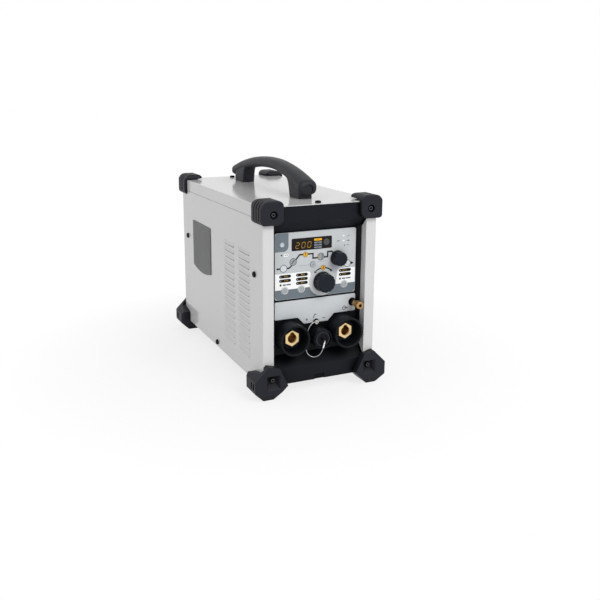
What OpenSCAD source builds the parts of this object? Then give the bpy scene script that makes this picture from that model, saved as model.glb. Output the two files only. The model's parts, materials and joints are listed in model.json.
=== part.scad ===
// TIG welding power source: sheet-metal casing, recessed front, carry handle and inverter parts.
// x runs to the right seen from the front, the front faces -y, and the floor is at z = 0.
// Heights on the front and rear are given above the underside of the sheet-metal box.

/* [Casing] */
// Width of the sheet-metal box
box_w = 208; // [204:1:260]
// Depth of the sheet-metal box
box_d = 430; // [425:1:520]
// Height of the sheet-metal box
box_h = 300; // [298:1:360]
// Thickness of the casing sheet
sheet = 1.2; // [0.8:0.1:1.6]
// Outside radius of the sheet bends
bend_r = 2.6; // [2.2:0.1:4]
// Height of the cover's side lips
cover_lip = 21; // [18:1:26]
// Width of the flanges that the side panels turn in
flange_w = 19.5; // [18:0.5:22]
// Depth of the return behind each front flange
return_d = 15; // [10:1:17]
// Height of the box above the floor
foot_h = 20; // [18:1:26]
// Height of the tray's side walls
tray_lip = 20; // [16:1:22]

/* [Louvres] */
// Louvres in each column
louvre_count = 16; // [8:1:17]
// Distance between louvres
louvre_pitch = 11.8; // [9:0.1:12]
// Length of one louvre
louvre_l = 57; // [30:1:60]
// Height of one pressed hood
louvre_h = 5.5; // [4:0.5:7]
// How far a hood stands out
louvre_out = 2; // [1.4:0.1:3]
// Lower edge of the top louvres
louvre_top = 213; // [200:1:225]

/* [Front] */
// Depth of the recessed front
recess_d = 20; // [18:1:24]
// Height of the brow over the recess
brow_h = 27; // [22:1:30]
// Height of the sill under the recess
sill_h = 26.5; // [22:0.5:30]
// Wall of the moulded parts
wall = 3; // [2.5:0.1:4]
// Width of the control panel
panel_w = 150; // [148:1:156]
// Height of the control panel
panel_h = 112; // [110:1:112]
// Thickness of the control panel
panel_t = 2.5; // [2:0.1:4]
// Lower edge of the control panel
panel_low = 141; // [140:0.5:141.5]
// Height of the name plate
plate_h = 30.5; // [26:0.5:32]
// Thickness of the name plate
plate_t = 2; // [1.5:0.1:3]
// Drop of the name plate's tongue
tongue_drop = 12; // [8:0.5:12.5]

/* [Controls] */
// Radius of the main knob
main_knob_r = 16; // [14:0.5:19]
// Height of the main knob
main_knob_h = 18; // [14:0.5:22]
// Radius of the select knob
select_knob_r = 12; // [10:0.5:14]
// Height of the select knob
select_knob_h = 16; // [12:0.5:20]
// Radius of the knobs' spindles
spindle_r = 3; // [2.5:0.1:3.6]
// Travel of the push buttons
button_travel = 0.8; // [0.4:0.1:0.9]
// Gap between the front and the control board
board_gap = 10; // [9:0.5:14]

/* [Weld sockets] */
// Distance of each socket from the middle
socket_x = 50; // [48:0.5:54]
// Height of the sockets
socket_z = 77.5; // [75:0.5:79]
// Outside radius of the shroud
shroud_r = 26.5; // [25:0.5:27]
// Length of the shroud
shroud_l = 32; // [26:1:33]
// Radius of the contact's bore
bore_r = 6.6; // [5:0.1:7]
// Depth of the contact's bore
bore_l = 29; // [24:1:32]
// Radius of the contact's round body
contact_r = 10; // [9:0.5:11]

/* [Connectors] */
// Distance of the remote connector from the middle
connector_x = 4; // [0:0.5:5]
// Height of the remote connector
connector_z = 71; // [68:0.5:73]
// Radius of the connector's barrel
barrel_r = 11; // [9:0.5:12]
// Outside radius of the dust cap
cap_r = 17; // [15:0.5:18]
// Length of the dust cap
cap_l = 23.5; // [20:0.5:25]
// Radius of the steel lanyard
lanyard_r = 0.75; // [0.5:0.05:1]
// Radius of the gas outlet nipple
nipple_r = 5; // [4:0.1:5.5]
// Outside radius of the gas hose
hose_r = 4; // [3:0.1:4.5]

/* [Handle] */
// Distance of the handle's front end from the middle of the box
handle_front = 168; // [160:1:180]
// Distance of the handle's rear end from the middle of the box
handle_rear = 168; // [162:1:180]
// Height of the handle above the cover
handle_h = 59; // [56:1:66]
// Width of the grip
grip_w = 27; // [26:0.5:32]
// Thickness of the grip
grip_t = 20; // [18:0.5:22]
// Radius of the front part of the arch
arch_front_r = 400; // [380:2:460]
// Radius of the rear part of the arch
arch_rear_r = 545; // [520:5:600]

/* [Corners] */
// How far the bumpers stand out beside the box
bumper_out = 6; // [4:0.5:8]
// How far the bumpers stand out in front of the box
bumper_front = 9; // [7:0.5:11]
// How far the bumpers stand above the cover
bumper_up = 10.5; // [8:0.5:13]
// How far the feet stand out beside the box
foot_out = 18.5; // [15:0.5:24]
// How far the feet stand out in front of the box
foot_front = 13; // [11:0.5:16]
// Length of a foot
foot_l = 45; // [40:1:56]
// Radius of the screws' shanks
shank_r = 1.9; // [1.5:0.1:2]

/* [Rear] */
// Width of the fan's frame
fan_w = 119; // [110:1:120]
// Depth of the fan's frame
fan_d = 25; // [20:1:28]
// Height of the fan's axis
fan_z = 205; // [200:1:215]
// Radius of the fan's opening
fan_r = 56; // [50:1:57]
// Depth of the recessed rear panel
rear_recess = 10; // [8:0.5:14]
// Number of fan blades
blade_count = 7; // [5:1:9]
// Radius of the cable's way through the gland
gland_bore_r = 5.5; // [4:0.1:6.5]

/* [Inside] */
// Length of the heat sink
sink_l = 120; // [100:2:124]
// Width of the heat sink
sink_w = 140; // [120:2:150]
// Height of the heat sink
sink_h = 60; // [50:1:62]
// Number of fins
fin_count = 13; // [9:1:17]
// Height of the transformer's core
core_h = 72; // [64:1:76]
// Radius of the output inductor
inductor_r = 36; // [30:1:38]
// Height of the inductor and of the ignition coil
coil_h = 54; // [46:1:58]

/* [Hidden] */
$fn = 48;

// Colours
sheet_grey = "#d2d3d4";
moulding_black = "#24282e";
rubber_black = "#37373e";
panel_grey = "#c4c8ca";
brass = "#b8924f";
copper = "#b5713d";
steel = "#a9abad";
board_green = "#2f5d43";

// Clearances
fit_gap = 0.2;
run_gap = 0.3;
spindle_gap = 0.08;
screw_gap = 0.3;
cut = 1;

// Main planes
half_w = box_w / 2;
half_d = box_d / 2;
base_z = foot_h;
top_z = foot_h + box_h;
seam_gap = 0.6;
seam_z = top_z - cover_lip;
inner_x = half_w - sheet;
fascia_half = half_w - flange_w - fit_gap;
skin_set = 0.8;
skin_y = -half_d + skin_set;
recess_y = -half_d + recess_d;
rear_ear_y = half_d - sheet - fit_gap;
rear_y = rear_ear_y - rear_recess;
rear_inner_y = rear_y - wall;
tray_top = base_z + sheet;

// Slanted ends of the returns behind the front flanges
return_low = base_z + sill_h + 4;
return_high = top_z - brow_h - 2;
return_rise = 16;

// Joggled strip behind the cover's lip
joggle_h = 14;
joggle_inset = 26;
joggle_top = 8;

// Louvre columns, from the front of the box
louvre_columns = [81, 152];
hood_t = 0.8;
slot_drop = 2.1;

// Screws
shank_l = 9;
head_r = 5;
head_h = 3.2;
cover_screws = [[0, 13 - half_d], [0, half_d - 18]];
side_screws = [[33, 185.5], [box_d - 33, 185.5]];
tray_screw = [half_d + 8, 9];
bumper_screw = [16, 12];
foot_screw = [14, 14];
recess_r = 6.5;
recess_l = 5;

// Ears and walls of the front moulding
ear_d = 14;
top_flange_d = 40;
side_wall_d = 30;
side_wall_t = 4;
ridge_w = 6;
notch_w = 18;
notch_h = 9;

// Control panel: x, height above the box's underside, radius
panel_corner = 4;
panel_mid = panel_low + panel_h / 2;
window_w = 74;
window_h = 20.6;
window_at = [-8, 232];
window_corner = 2;
main_at = [12, 165.4];
select_at = [39.6, 203.6];
mode_at = [-57, 156, 6];
trigger_at = [-27, 156, 6];
process_at = [54, 156.4, 6];
cycle_at = [-6, 196.4, 5.2];
display_at = [18.6, 232.6, 5.8];
standby_at = [-62.6, 233.8, 4.5];
buttons = [mode_at, trigger_at, process_at, cycle_at, display_at, standby_at];
button_gap = 0.35;
button_flange = 1.2;
button_flange_t = 1.5;
button_proud = 1.6;
stem_r = 2;
tact_h = 3.2;
board_t = 1.6;
board_margin = 2;
display_w = 46;
display_h = 15;
display_x = -18.5;
encoder_w = 14;
encoder_h = 7;
bush_r = 4.6;
bush_l = 1;
knob_gap = 0.6;
flute_count = 14;
flute_r = 2.4;
flute_depth = 0.8;
skirt_l = 2.5;
skirt_out = 0.8;
knob_chamfer = 1.6;

// Name plate
plate_low = 107;
plate_corner = 2;
plate_extra = 1.5;
tongue_x = 1.3;
tongue_top = 34.3;
tongue_bottom = 22.5;
outlet_at = [70.6, 123];
outlet_hole_r = 7.2;

// Weld sockets: forward distances from the recessed face
shroud_t = 3.5;
trough_floor = 6;
boss_r = 19.5;
boss_front = 13;
sleeve_r = 17.5;
sleeve_l = 28;
hex_w = 24;
hex_t = 4;
contact_back = 34;
stud_r = 5;
stud_l = 16;
key_angle = 36;
key_r = 10.6;
key_l = 14;
mouth_chamfer = 0.8;
nut_w = 46;
nut_t = 7;

// Busbars
bar_t = 3;
bar_w = 24;
bar_l = 46;

// Remote connector and dust cap
flange_r = 16;
flange_t = 3;
barrel_l = 12;
connector_back = 20;
knurl_count = 28;
knurl_depth = 0.7;
cap_rim_r = 14;
cap_rim_t = 2;
cap_face_r = 12.4;
cap_face_set = 3;
cap_groove = 3;
dish_r = 7.5;
dish_d = 1.5;
post_r = 2.4;
post_l = 1;
cap_back = flange_t + run_gap;
cap_front = cap_back + cap_l;
lanyard_screw_at = [1.2, 95.8];
lanyard_head_r = 3.2;
lanyard_head_t = 4.6;
lanyard_notch_r = 5.4;
seat_gap = 0.1;

// Handle: heights above the cover and the two ends of each leg at that height
arch_mid = -17;
nose_extra = 5.5;
nose_wide = 4;
leg_w = 24.6;
leg_corner = 5;
leg_slab = 0.5;
front_leg = [[0, -158, -114], [14, -158, -110.5], [24, -150, -107], [30, -140, -102.5], [34, -132, -95],
  [37, -122, -86]];
rear_leg = [[0, 101, 150], [14, 98.5, 150], [24, 96, 140], [30, 92, 128], [34, 85, 115], [37, 77, 105]];
grip_rings = 36;
grip_sides = 24;
end_round = 7;
grip_shape = 2.5;
nose_dish_r = 8.5;
nose_dish_d = 2.5;
nose_dish_z = 17;

// Corner pieces
bumper_in = 34;
bumper_low = 29;
bumper_back = 34;
bumper_seat = 10;
bumper_lift = 3.2;
rib_start = 8;
rib_count = 3;
rib_w = 3;
rib_depth = 1.4;
rib_pitch = 9.9;
funnel_w = 24;
funnel_floor = 13;
funnel_d = 8;
funnel_dip = 3.3;

// Feet: outline seen from the front, then the shoulder behind the front plate and the chamfers
foot_in = 41;
foot_top = 40;
foot_front_view = [[-24.5, 34.5], [-5, 39.6], [foot_out, 16], [foot_out, -4], [2, -foot_h], [-16, -foot_h],
  [-40, 3]];
foot_nose = 6;
foot_edge = 1.5;
foot_heel = 5;
foot_plate = 6;
shoulder_run = 3;
shoulder_z = [27.5, 20];
groove_y = [6.5, 16];
groove_w = 4.5;
groove_d = 3;
groove_z = [0.5, 12];

// Side badge
badge_w = 106;
badge_top = 224;
badge_low = 126.4;
badge_t = 1.5;
badge_y = 91;
badge_arc = 190;

// Rear fittings
guard_t = 2.5;
guard_rim = 4;
guard_ring = 3;
guard_pitch = 9;
guard_hub = 14;
hub_r = 18;
blade_gap = 1.5;
blade_chord = 24;
blade_t = 1.8;
blade_angle = 35;
stator_t = 4;
strut_w = 5;
axle_r = 2;
switch_at = [-55, 70];
bezel = [26, 36];
well = [18.4, 27.6];
well_d = 9;
switch_wall = 1.6;
switch_d = 22;
bezel_t = 2;
rocker_tilt = 11;
rocker_l = 25;
rocker_w = 17.4;
pivot_r = 1.5;
gland_at = [0, 50];
gland_thread_r = 10;
gland_hex = 26;
gland_nut_t = 6;
gland_hex_t = 6;
gland_dome = [[0, 5], [12, 5], [12, 8], [11, 20], [8.5, 23], [0, 23]];
inlet_at = [58, 60];
inlet_r = 4;
inlet_thread_r = 6;
inlet_flange_r = 10;
inlet_flange_t = 6;
inlet_l = 22;

// Inside
sink_back = 52;
fin_t = 2;
sink_base = 8;
module_h = 12;
post_h = 16;
power_board_l = 190;
cap_can_r = 17;
cap_can_h = 45;
core_w = 84;
core_d = 56;
core_limb = 16;
centre_limb = 20;
core_t = 32;
winding_gap = 0.5;
coil_back = 105;
coil_x = 48;
ignition_w = 62;
ignition_d = 78;
valve_w = 30;
valve_d = 34;
valve_h = 28;
solenoid_h = 31;
hose_x = 88;

// Basic forms

module along_x(x0, x1) {
  translate([x0, 0, 0]) rotate([90, 0, 90]) linear_extrude(x1 - x0) children();
}

module along_y(y0, y1) {
  translate([0, y1, 0]) rotate([90, 0, 0]) linear_extrude(y1 - y0) children();
}

module along_z(z0, z1) {
  translate([0, 0, z0]) linear_extrude(z1 - z0) children();
}

module block(low, high) {
  translate(low) cube(high - low);
}

module both_sides() {
  children();
  mirror([1, 0, 0]) children();
}

// A place on the recessed front: local z points forward, local y points up
module at_front(p) {
  translate([p[0], recess_y, base_z + p[1]]) rotate([90, 0, 0]) children();
}

// A place on the rear panel: local z points backward, local y points up
module at_rear(p) {
  translate([p[0], rear_y, base_z + p[1]]) rotate([90, 0, 180]) children();
}

module pipe(r, z0, z1) {
  translate([0, 0, z0]) cylinder(r = r, h = z1 - z0);
}

module hexagon(w, z0, z1) {
  translate([0, 0, z0]) rotate([0, 0, 30]) cylinder(r = w / sqrt(3), h = z1 - z0, $fn = 6);
}

module rounded(w, h, r) {
  square([w - 2 * r, h], center = true);
  square([w, h - 2 * r], center = true);
  for (sx = [-1, 1], sy = [-1, 1])
    translate([sx * (w / 2 - r), sy * (h / 2 - r)]) circle(r);
}

module corner_cut(p, r, dx, dy) {
  translate(p) difference() {
    polygon([[-dx * cut, -dy * cut], [dx * r, -dy * cut], [dx * r, dy * r], [-dx * cut, dy * r]]);
    translate([dx * r, dy * r]) circle(r);
  }
}

// A rectangle with its own radius at each corner, from low left anticlockwise
module shaped(low, high, radii) {
  difference() {
    translate(low) square(high - low);
    corner_cut(low, radii[0], 1, 1);
    corner_cut([high[0], low[1]], radii[1], -1, 1);
    corner_cut(high, radii[2], -1, -1);
    corner_cut([low[0], high[1]], radii[3], 1, -1);
  }
}

function unit(v) = v / norm(v);

// One point of a smooth curve through four points
function spline_point(a, b, c, d, t) =
  0.5 * (2 * b + (c - a) * t + (2 * a - 5 * b + 4 * c - d) * t * t + (3 * b - a - 3 * c + d) * t * t * t);

// A smooth path through a list of points, with some steps between neighbours
function smooth_path(p, steps) = concat(
  [for (i = [0 : len(p) - 2], k = [0 : steps - 1])
    spline_point(p[max(i - 1, 0)], p[i], p[i + 1], p[min(i + 2, len(p) - 1)], k / steps)],
  [p[len(p) - 1]]);

function directions(path) = [for (i = [0 : len(path) - 1])
  unit(path[min(i + 1, len(path) - 1)] - path[max(i - 1, 0)])];

// Carries a side vector along the path without twisting it
function carried(t, v, i = 0) = i == len(t) ? []
  : let (w = unit(v - (v * t[i]) * t[i])) concat([w], carried(t, w, i + 1));

module loft(rings) {
  sides = len(rings[0]);
  last = len(rings) - 1;
  polyhedron(
    points = [for (ring = rings) each ring],
    faces = concat(
      [for (i = [0 : last - 1], k = [0 : sides - 1])
        [i * sides + k, i * sides + (k + 1) % sides, (i + 1) * sides + k]],
      [for (i = [0 : last - 1], k = [0 : sides - 1])
        [(i + 1) * sides + k, i * sides + (k + 1) % sides, (i + 1) * sides + (k + 1) % sides]],
      [for (k = [1 : sides - 2]) [0, k + 1, k]],
      [for (k = [1 : sides - 2]) [last * sides, last * sides + k, last * sides + k + 1]]));
}

module tube_along(path, r, sides, side_vector) {
  t = directions(path);
  n = carried(t, side_vector);
  loft([for (i = [0 : len(path) - 1])
    [for (k = [0 : sides - 1])
      let (a = -360 * k / sides) path[i] + r * (cos(a) * n[i] + sin(a) * cross(t[i], n[i]))]]);
}

// Casing

module base_tray() {
  front = skin_y + wall + fit_gap;
  color(sheet_grey) difference() {
    union() {
      block([-inner_x, front, base_z], [inner_x, rear_ear_y - bend_r + sheet, tray_top]);
      both_sides()
        block([inner_x - sheet, front, base_z], [inner_x, rear_inner_y - fit_gap, base_z + tray_lip]);
    }
    both_sides() translate([inner_x, -half_d + tray_screw[0], base_z + tray_screw[1]])
      rotate([0, 90, 0]) cylinder(r = shank_r + screw_gap, h = 4 * sheet, center = true);
  }
}

function louvre_low(i) = base_z + louvre_top - i * louvre_pitch;

module louvre_hoods(column) {
  y = -half_d + column;
  intersection() {
    along_y(y - louvre_l / 2, y + louvre_l / 2)
      for (i = [0 : louvre_count - 1])
        let (z = louvre_low(i))
          polygon([[half_w - sheet / 2, z], [half_w + louvre_out, z], [half_w + louvre_out, z + hood_t],
            [half_w, z + louvre_h], [half_w - sheet / 2, z + louvre_h]]);
    along_z(base_z, top_z)
      polygon([[half_w - sheet, y - louvre_l / 2], [half_w, y - louvre_l / 2],
        [half_w + louvre_out, y - louvre_l / 2 + louvre_h],
        [half_w + louvre_out, y + louvre_l / 2 - louvre_h], [half_w, y + louvre_l / 2],
        [half_w - sheet, y + louvre_l / 2]]);
  }
}

module louvre_slots(column) {
  y = -half_d + column;
  along_y(y - louvre_l / 2 + louvre_h, y + louvre_l / 2 - louvre_h)
    for (i = [0 : louvre_count - 1])
      let (z = louvre_low(i))
        polygon([[half_w - sheet - cut, z - slot_drop], [half_w + cut, z - slot_drop],
          [half_w + cut, z - hood_t / 2], [half_w + louvre_out - hood_t, z - hood_t / 2],
          [half_w + louvre_out - hood_t, z + hood_t / 2], [half_w - sheet / 2, z + louvre_h - 2 * hood_t],
          [half_w - sheet - cut, z + louvre_h - 2 * hood_t]]);
}

module side_panel() {
  color(sheet_grey) difference() {
    union() {
      along_z(base_z, seam_z - seam_gap) intersection() {
        difference() {
          rounded(box_w, box_d, bend_r);
          rounded(box_w - 2 * sheet, box_d - 2 * sheet, bend_r - sheet);
        }
        translate([half_w - flange_w, -half_d]) square([flange_w, box_d]);
      }
      along_x(half_w - flange_w, half_w - flange_w + sheet)
        polygon([[-half_d, return_low], [-half_d + return_d, return_low + return_rise],
          [-half_d + return_d, return_high - return_rise], [-half_d, return_high]]);
      block([inner_x - sheet, -half_d + joggle_inset, seam_z - joggle_h],
        [inner_x, half_d - joggle_inset, top_z - joggle_top]);
      for (column = louvre_columns) louvre_hoods(column);
    }
    for (column = louvre_columns) louvre_slots(column);
    for (s = concat(side_screws, [tray_screw]))
      translate([half_w, -half_d + s[0], base_z + s[1]])
        rotate([0, 90, 0]) cylinder(r = shank_r + screw_gap, h = 6 * sheet, center = true);
    for (sy = [-1, 1])
      translate([half_w - foot_screw[0], sy * half_d, base_z + foot_screw[1]])
        rotate([90, 0, 0]) cylinder(r = shank_r + screw_gap, h = 6 * sheet, center = true);
  }
}

module left_side_panel() {
  mirror([1, 0, 0]) side_panel();
}

module right_side_panel() {
  side_panel();
}

module top_cover() {
  color(sheet_grey) difference() {
    along_y(-half_d, half_d) difference() {
      shaped([-half_w, seam_z], [half_w, top_z], [0.2, 0.2, bend_r, bend_r]);
      shaped([-inner_x, seam_z - cut], [inner_x, top_z - sheet], [0.2, 0.2, bend_r - sheet, bend_r - sheet]);
    }
    for (p = cover_screws)
      translate([p[0], p[1], top_z]) cylinder(r = shank_r + screw_gap, h = 6 * sheet, center = true);
  }
}

// Front moulding

slope = recess_y - skin_y;
brow_gap = 0.8;
brow_rise = min(slope, box_h - brow_h - panel_low - panel_h - brow_gap);
sill_fold = wall * tan(22.5);
brow_fold = wall * tan(atan2(slope, brow_rise) / 2);
fascia_skin = [
  [skin_y, base_z], [skin_y, base_z + sill_h], [recess_y, base_z + sill_h + slope],
  [recess_y, top_z - brow_h - brow_rise], [skin_y, top_z - brow_h], [skin_y, top_z - sheet],
  [skin_y + wall, top_z - sheet], [skin_y + wall, top_z - brow_h + brow_fold],
  [recess_y + wall, top_z - brow_h - brow_rise + brow_fold],
  [recess_y + wall, base_z + sill_h + slope - sill_fold],
  [skin_y + wall, base_z + sill_h - sill_fold], [skin_y + wall, base_z]];

module front_cutouts() {
  for (sx = [-1, 1])
    at_front([sx * socket_x, socket_z]) pipe(sleeve_r + fit_gap, -wall - cut, cut);
  at_front([connector_x, connector_z]) pipe(barrel_r + 1.5 + fit_gap, -wall - cut, cut);
  at_front(outlet_at) pipe(outlet_hole_r, -wall - cut, cut);
  for (p = [main_at, select_at])
    at_front(p) pipe(bush_r + run_gap, -wall - cut, cut);
  for (b = buttons)
    at_front(b) pipe(b[2] + button_flange + run_gap, -wall - cut, cut);
  at_front([display_x, window_at[1]])
    translate([0, 0, -wall - cut]) linear_extrude(wall + 2 * cut)
      square([display_w, display_h], center = true);
  at_front(lanyard_screw_at) pipe(shank_r, -wall - cut, cut);
}

module front_fascia() {
  ear_x = inner_x - sheet - fit_gap;
  ear_front = -half_d + sheet + fit_gap;
  wall_x = inner_x - fit_gap;
  wall_low = base_z + tray_lip + 2 * cut;
  wall_high = seam_z - joggle_h - 2 * cut;
  color(moulding_black) difference() {
    union() {
      along_x(-fascia_half, fascia_half) polygon(fascia_skin);
      block([-ear_x, skin_y + wall - cut, top_z - sheet - wall],
        [ear_x, skin_y + top_flange_d, top_z - sheet]);
      both_sides() {
        block([fascia_half - cut, ear_front, top_z - brow_h + cut],
          [ear_x, ear_front + ear_d, top_z - sheet]);
        block([fascia_half - cut, ear_front, tray_top], [ear_x, ear_front + ear_d, base_z + sill_h - cut]);
        block([fascia_half - cut, recess_y, wall_low], [wall_x, recess_y + wall, wall_high]);
        block([wall_x - side_wall_t, recess_y, wall_low], [wall_x, recess_y + side_wall_d, wall_high]);
        along_z(base_z + sill_h + slope - return_d / 3, top_z - brow_h - brow_rise + return_d / 3)
          polygon([[fascia_half - ridge_w, recess_y + cut], [fascia_half - ridge_w, recess_y],
            [fascia_half - cut, -half_d + return_d + fit_gap],
            [fascia_half + ridge_w, -half_d + return_d + fit_gap], [fascia_half + ridge_w, recess_y + cut]]);
      }
      for (sx = [-1, 1], p = [panel_low + 6, panel_low + panel_h - 6])
        at_front([sx * (panel_w / 2 - 8), p]) pipe(3, -wall - board_gap, -wall + cut);
    }
    front_cutouts();
    both_sides() {
      translate([half_w - bumper_screw[0], ear_front, top_z - bumper_screw[1]])
        rotate([90, 0, 0]) cylinder(r = shank_r + fit_gap / 2, h = 3 * ear_d, center = true);
      translate([half_w - foot_screw[0], ear_front, base_z + foot_screw[1]])
        rotate([90, 0, 0]) cylinder(r = shank_r + fit_gap / 2, h = 3 * ear_d, center = true);
      translate([inner_x, -half_d + side_screws[0][0], base_z + side_screws[0][1]])
        rotate([0, 90, 0]) cylinder(r = shank_r + fit_gap / 2, h = 4 * side_wall_t, center = true);
    }
    translate([cover_screws[0][0], cover_screws[0][1], top_z])
      cylinder(r = shank_r + fit_gap / 2, h = 6 * wall, center = true);
    block([-notch_w / 2, skin_y - cut, base_z - cut], [notch_w / 2, skin_y + wall / 2, base_z + notch_h]);
  }
}

module control_panel() {
  color(panel_grey) difference() {
    at_front([0, panel_mid]) linear_extrude(panel_t) rounded(panel_w, panel_h, panel_corner);
    at_front(window_at) translate([0, 0, -cut]) linear_extrude(panel_t + 2 * cut)
      rounded(window_w + fit_gap, window_h + fit_gap, window_corner);
    for (p = [main_at, select_at])
      at_front(p) pipe(bush_r + run_gap, -cut, panel_t + cut);
    for (b = buttons)
      at_front(b) pipe(b[2] + button_gap, -cut, panel_t + cut);
  }
}

module display_window() {
  color("#17181a") difference() {
    at_front(window_at) linear_extrude(panel_t + fit_gap)
      rounded(window_w - fit_gap, window_h - fit_gap, window_corner);
    at_front(display_at) pipe(display_at[2] + button_gap, -cut, panel_t + cut);
  }
}

module control_board() {
  front = -wall - board_gap;
  color(board_green) {
    at_front([0, panel_mid]) translate([0, 0, front - board_t])
      linear_extrude(board_t) square([panel_w - 2 * board_margin, panel_h - 2 * board_margin], center = true);
    for (b = buttons)
      at_front(b) translate([0, 0, front]) linear_extrude(tact_h) square(2 * tact_h, center = true);
    at_front([display_x, window_at[1]]) translate([0, 0, front])
      linear_extrude(board_gap + wall - run_gap) square([display_w - 1, display_h - 1], center = true);
  }
}

module encoder(p) {
  front = -wall - board_gap;
  color(rubber_black) at_front(p) difference() {
    union() {
      translate([0, 0, front]) linear_extrude(encoder_h) square(encoder_w, center = true);
      pipe(bush_r, front + encoder_h - cut, bush_l);
    }
    pipe(spindle_r + spindle_gap, front + cut, bush_l + cut);
  }
}

module main_encoder() {
  encoder(main_at);
}

module select_encoder() {
  encoder(select_at);
}

module knob(p, r, h) {
  foot = panel_t + knob_gap;
  head = foot + h;
  skirt = foot + skirt_l;
  root = r - flute_depth;
  color(moulding_black) at_front(p) union() {
    rotate_extrude()
      polygon([[0, -wall - board_gap + 2 * cut], [spindle_r, -wall - board_gap + 2 * cut], [spindle_r, foot],
        [r + skirt_out, foot], [r + skirt_out, skirt], [0, skirt]]);
    translate([0, 0, skirt]) linear_extrude(h - skirt_l - knob_chamfer) difference() {
      circle(r);
      for (i = [0 : flute_count - 1])
        rotate(i * 360 / flute_count) translate([r + flute_r - flute_depth, 0]) circle(flute_r, $fn = 24);
    }
    rotate_extrude() polygon([[0, head - knob_chamfer], [root - 0.2, head - knob_chamfer],
      [root - knob_chamfer, head], [0, head]]);
  }
}

module main_knob() {
  knob(main_at, main_knob_r, main_knob_h);
}

module select_knob() {
  knob(select_at, select_knob_r, select_knob_h);
}

module push_button(b) {
  seat = -fit_gap / 2;
  back = seat - button_flange_t;
  stem = -wall - board_gap + tact_h + button_travel + run_gap;
  front = panel_t + button_proud;
  color(panel_grey) at_front(b) rotate_extrude()
    polygon([[0, stem], [stem_r, stem], [stem_r, back], [b[2] + button_flange, back],
      [b[2] + button_flange, seat], [b[2], seat], [b[2], front - 0.8], [b[2] - 0.6, front - 0.2],
      [b[2] - 1.6, front], [0, front]]);
}

module mode_button() {
  push_button(mode_at);
}

module trigger_button() {
  push_button(trigger_at);
}

module process_button() {
  push_button(process_at);
}

module cycle_button() {
  push_button(cycle_at);
}

module display_button() {
  push_button(display_at);
}

module standby_button() {
  push_button(standby_at);
}

module name_plate() {
  color(panel_grey) difference() {
    at_front([0, 0]) linear_extrude(plate_t) union() {
      translate([plate_extra / 2, plate_low + plate_h / 2])
        rounded(panel_w + plate_extra, plate_h, plate_corner);
      translate([tongue_x, plate_low])
        polygon([[-tongue_top, cut], [-tongue_top, 0], [-tongue_bottom, -tongue_drop],
          [tongue_bottom, -tongue_drop], [tongue_top, 0], [tongue_top, cut]]);
    }
    at_front(outlet_at) pipe(outlet_hole_r, -cut, plate_t + cut);
    at_front(lanyard_screw_at) pipe(lanyard_notch_r, -cut, plate_t + cut);
  }
}

// Weld sockets

module socket_collar(sx) {
  color(moulding_black) at_front([sx * socket_x, socket_z]) union() {
    rotate_extrude()
      polygon([[contact_r + fit_gap, -sleeve_l], [sleeve_r, -sleeve_l], [sleeve_r, 0], [shroud_r, 0],
        [shroud_r, shroud_l - 1], [shroud_r - 1, shroud_l], [shroud_r - shroud_t + 1, shroud_l],
        [shroud_r - shroud_t, shroud_l - 1], [shroud_r - shroud_t, trough_floor],
        [contact_r + fit_gap, trough_floor]]);
    difference() {
      rotate([0, 0, 22.5]) translate([0, 0, trough_floor - cut])
        cylinder(r = boss_r, h = boss_front - trough_floor + cut, $fn = 8);
      pipe(contact_r + fit_gap, trough_floor - 2 * cut, boss_front + cut);
    }
  }
}

module left_socket_collar() {
  socket_collar(-1);
}

module right_socket_collar() {
  socket_collar(1);
}

module socket_contact(sx) {
  mouth = boss_front + hex_t;
  color(brass) at_front([sx * socket_x, socket_z]) difference() {
    union() {
      hexagon(hex_w, boss_front, mouth);
      pipe(contact_r, -contact_back, boss_front + cut);
      pipe(stud_r, -contact_back - stud_l, -contact_back + cut);
    }
    pipe(bore_r, mouth - bore_l, mouth + cut);
    translate([0, 0, mouth - mouth_chamfer - cut])
      cylinder(r1 = bore_r - cut, r2 = bore_r + mouth_chamfer + cut, h = mouth_chamfer + 2 * cut);
    translate([0, 0, mouth - key_l]) linear_extrude(key_l + cut)
      polygon([[0, 0], bore_r * [sin(key_angle), cos(key_angle)], [0, key_r],
        bore_r * [-sin(key_angle), cos(key_angle)]]);
  }
}

module left_socket_contact() {
  socket_contact(-1);
}

module right_socket_contact() {
  socket_contact(1);
}

module socket_nuts() {
  color(moulding_black) for (sx = [-1, 1])
    at_front([sx * socket_x, socket_z]) difference() {
      hexagon(nut_w, -wall - nut_t, -wall);
      pipe(sleeve_r + fit_gap, -wall - nut_t - cut, -wall + cut);
    }
}

module busbars() {
  low = tray_top + coil_h - base_z - socket_z;
  color(copper) for (sx = [-1, 1])
    at_front([sx * socket_x, socket_z]) difference() {
      union() {
        translate([-bar_w / 2, low, -contact_back - bar_t]) cube([bar_w, bar_w / 2 - low, bar_t]);
        translate([-bar_w / 2, low, -contact_back - bar_l]) cube([bar_w, bar_t, bar_l]);
      }
      pipe(stud_r + fit_gap, -contact_back - bar_t - cut, -contact_back + cut);
    }
}

// Remote connector, dust cap and gas outlet

module remote_connector() {
  color(moulding_black) at_front([connector_x, connector_z]) rotate_extrude()
    polygon([[0, -connector_back], [barrel_r + 1.5, -connector_back], [barrel_r + 1.5, 0], [flange_r, 0],
      [flange_r, flange_t], [barrel_r, flange_t], [barrel_r, barrel_l], [barrel_r - 2, barrel_l],
      [barrel_r - 2, flange_t], [0, flange_t]]);
}

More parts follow.
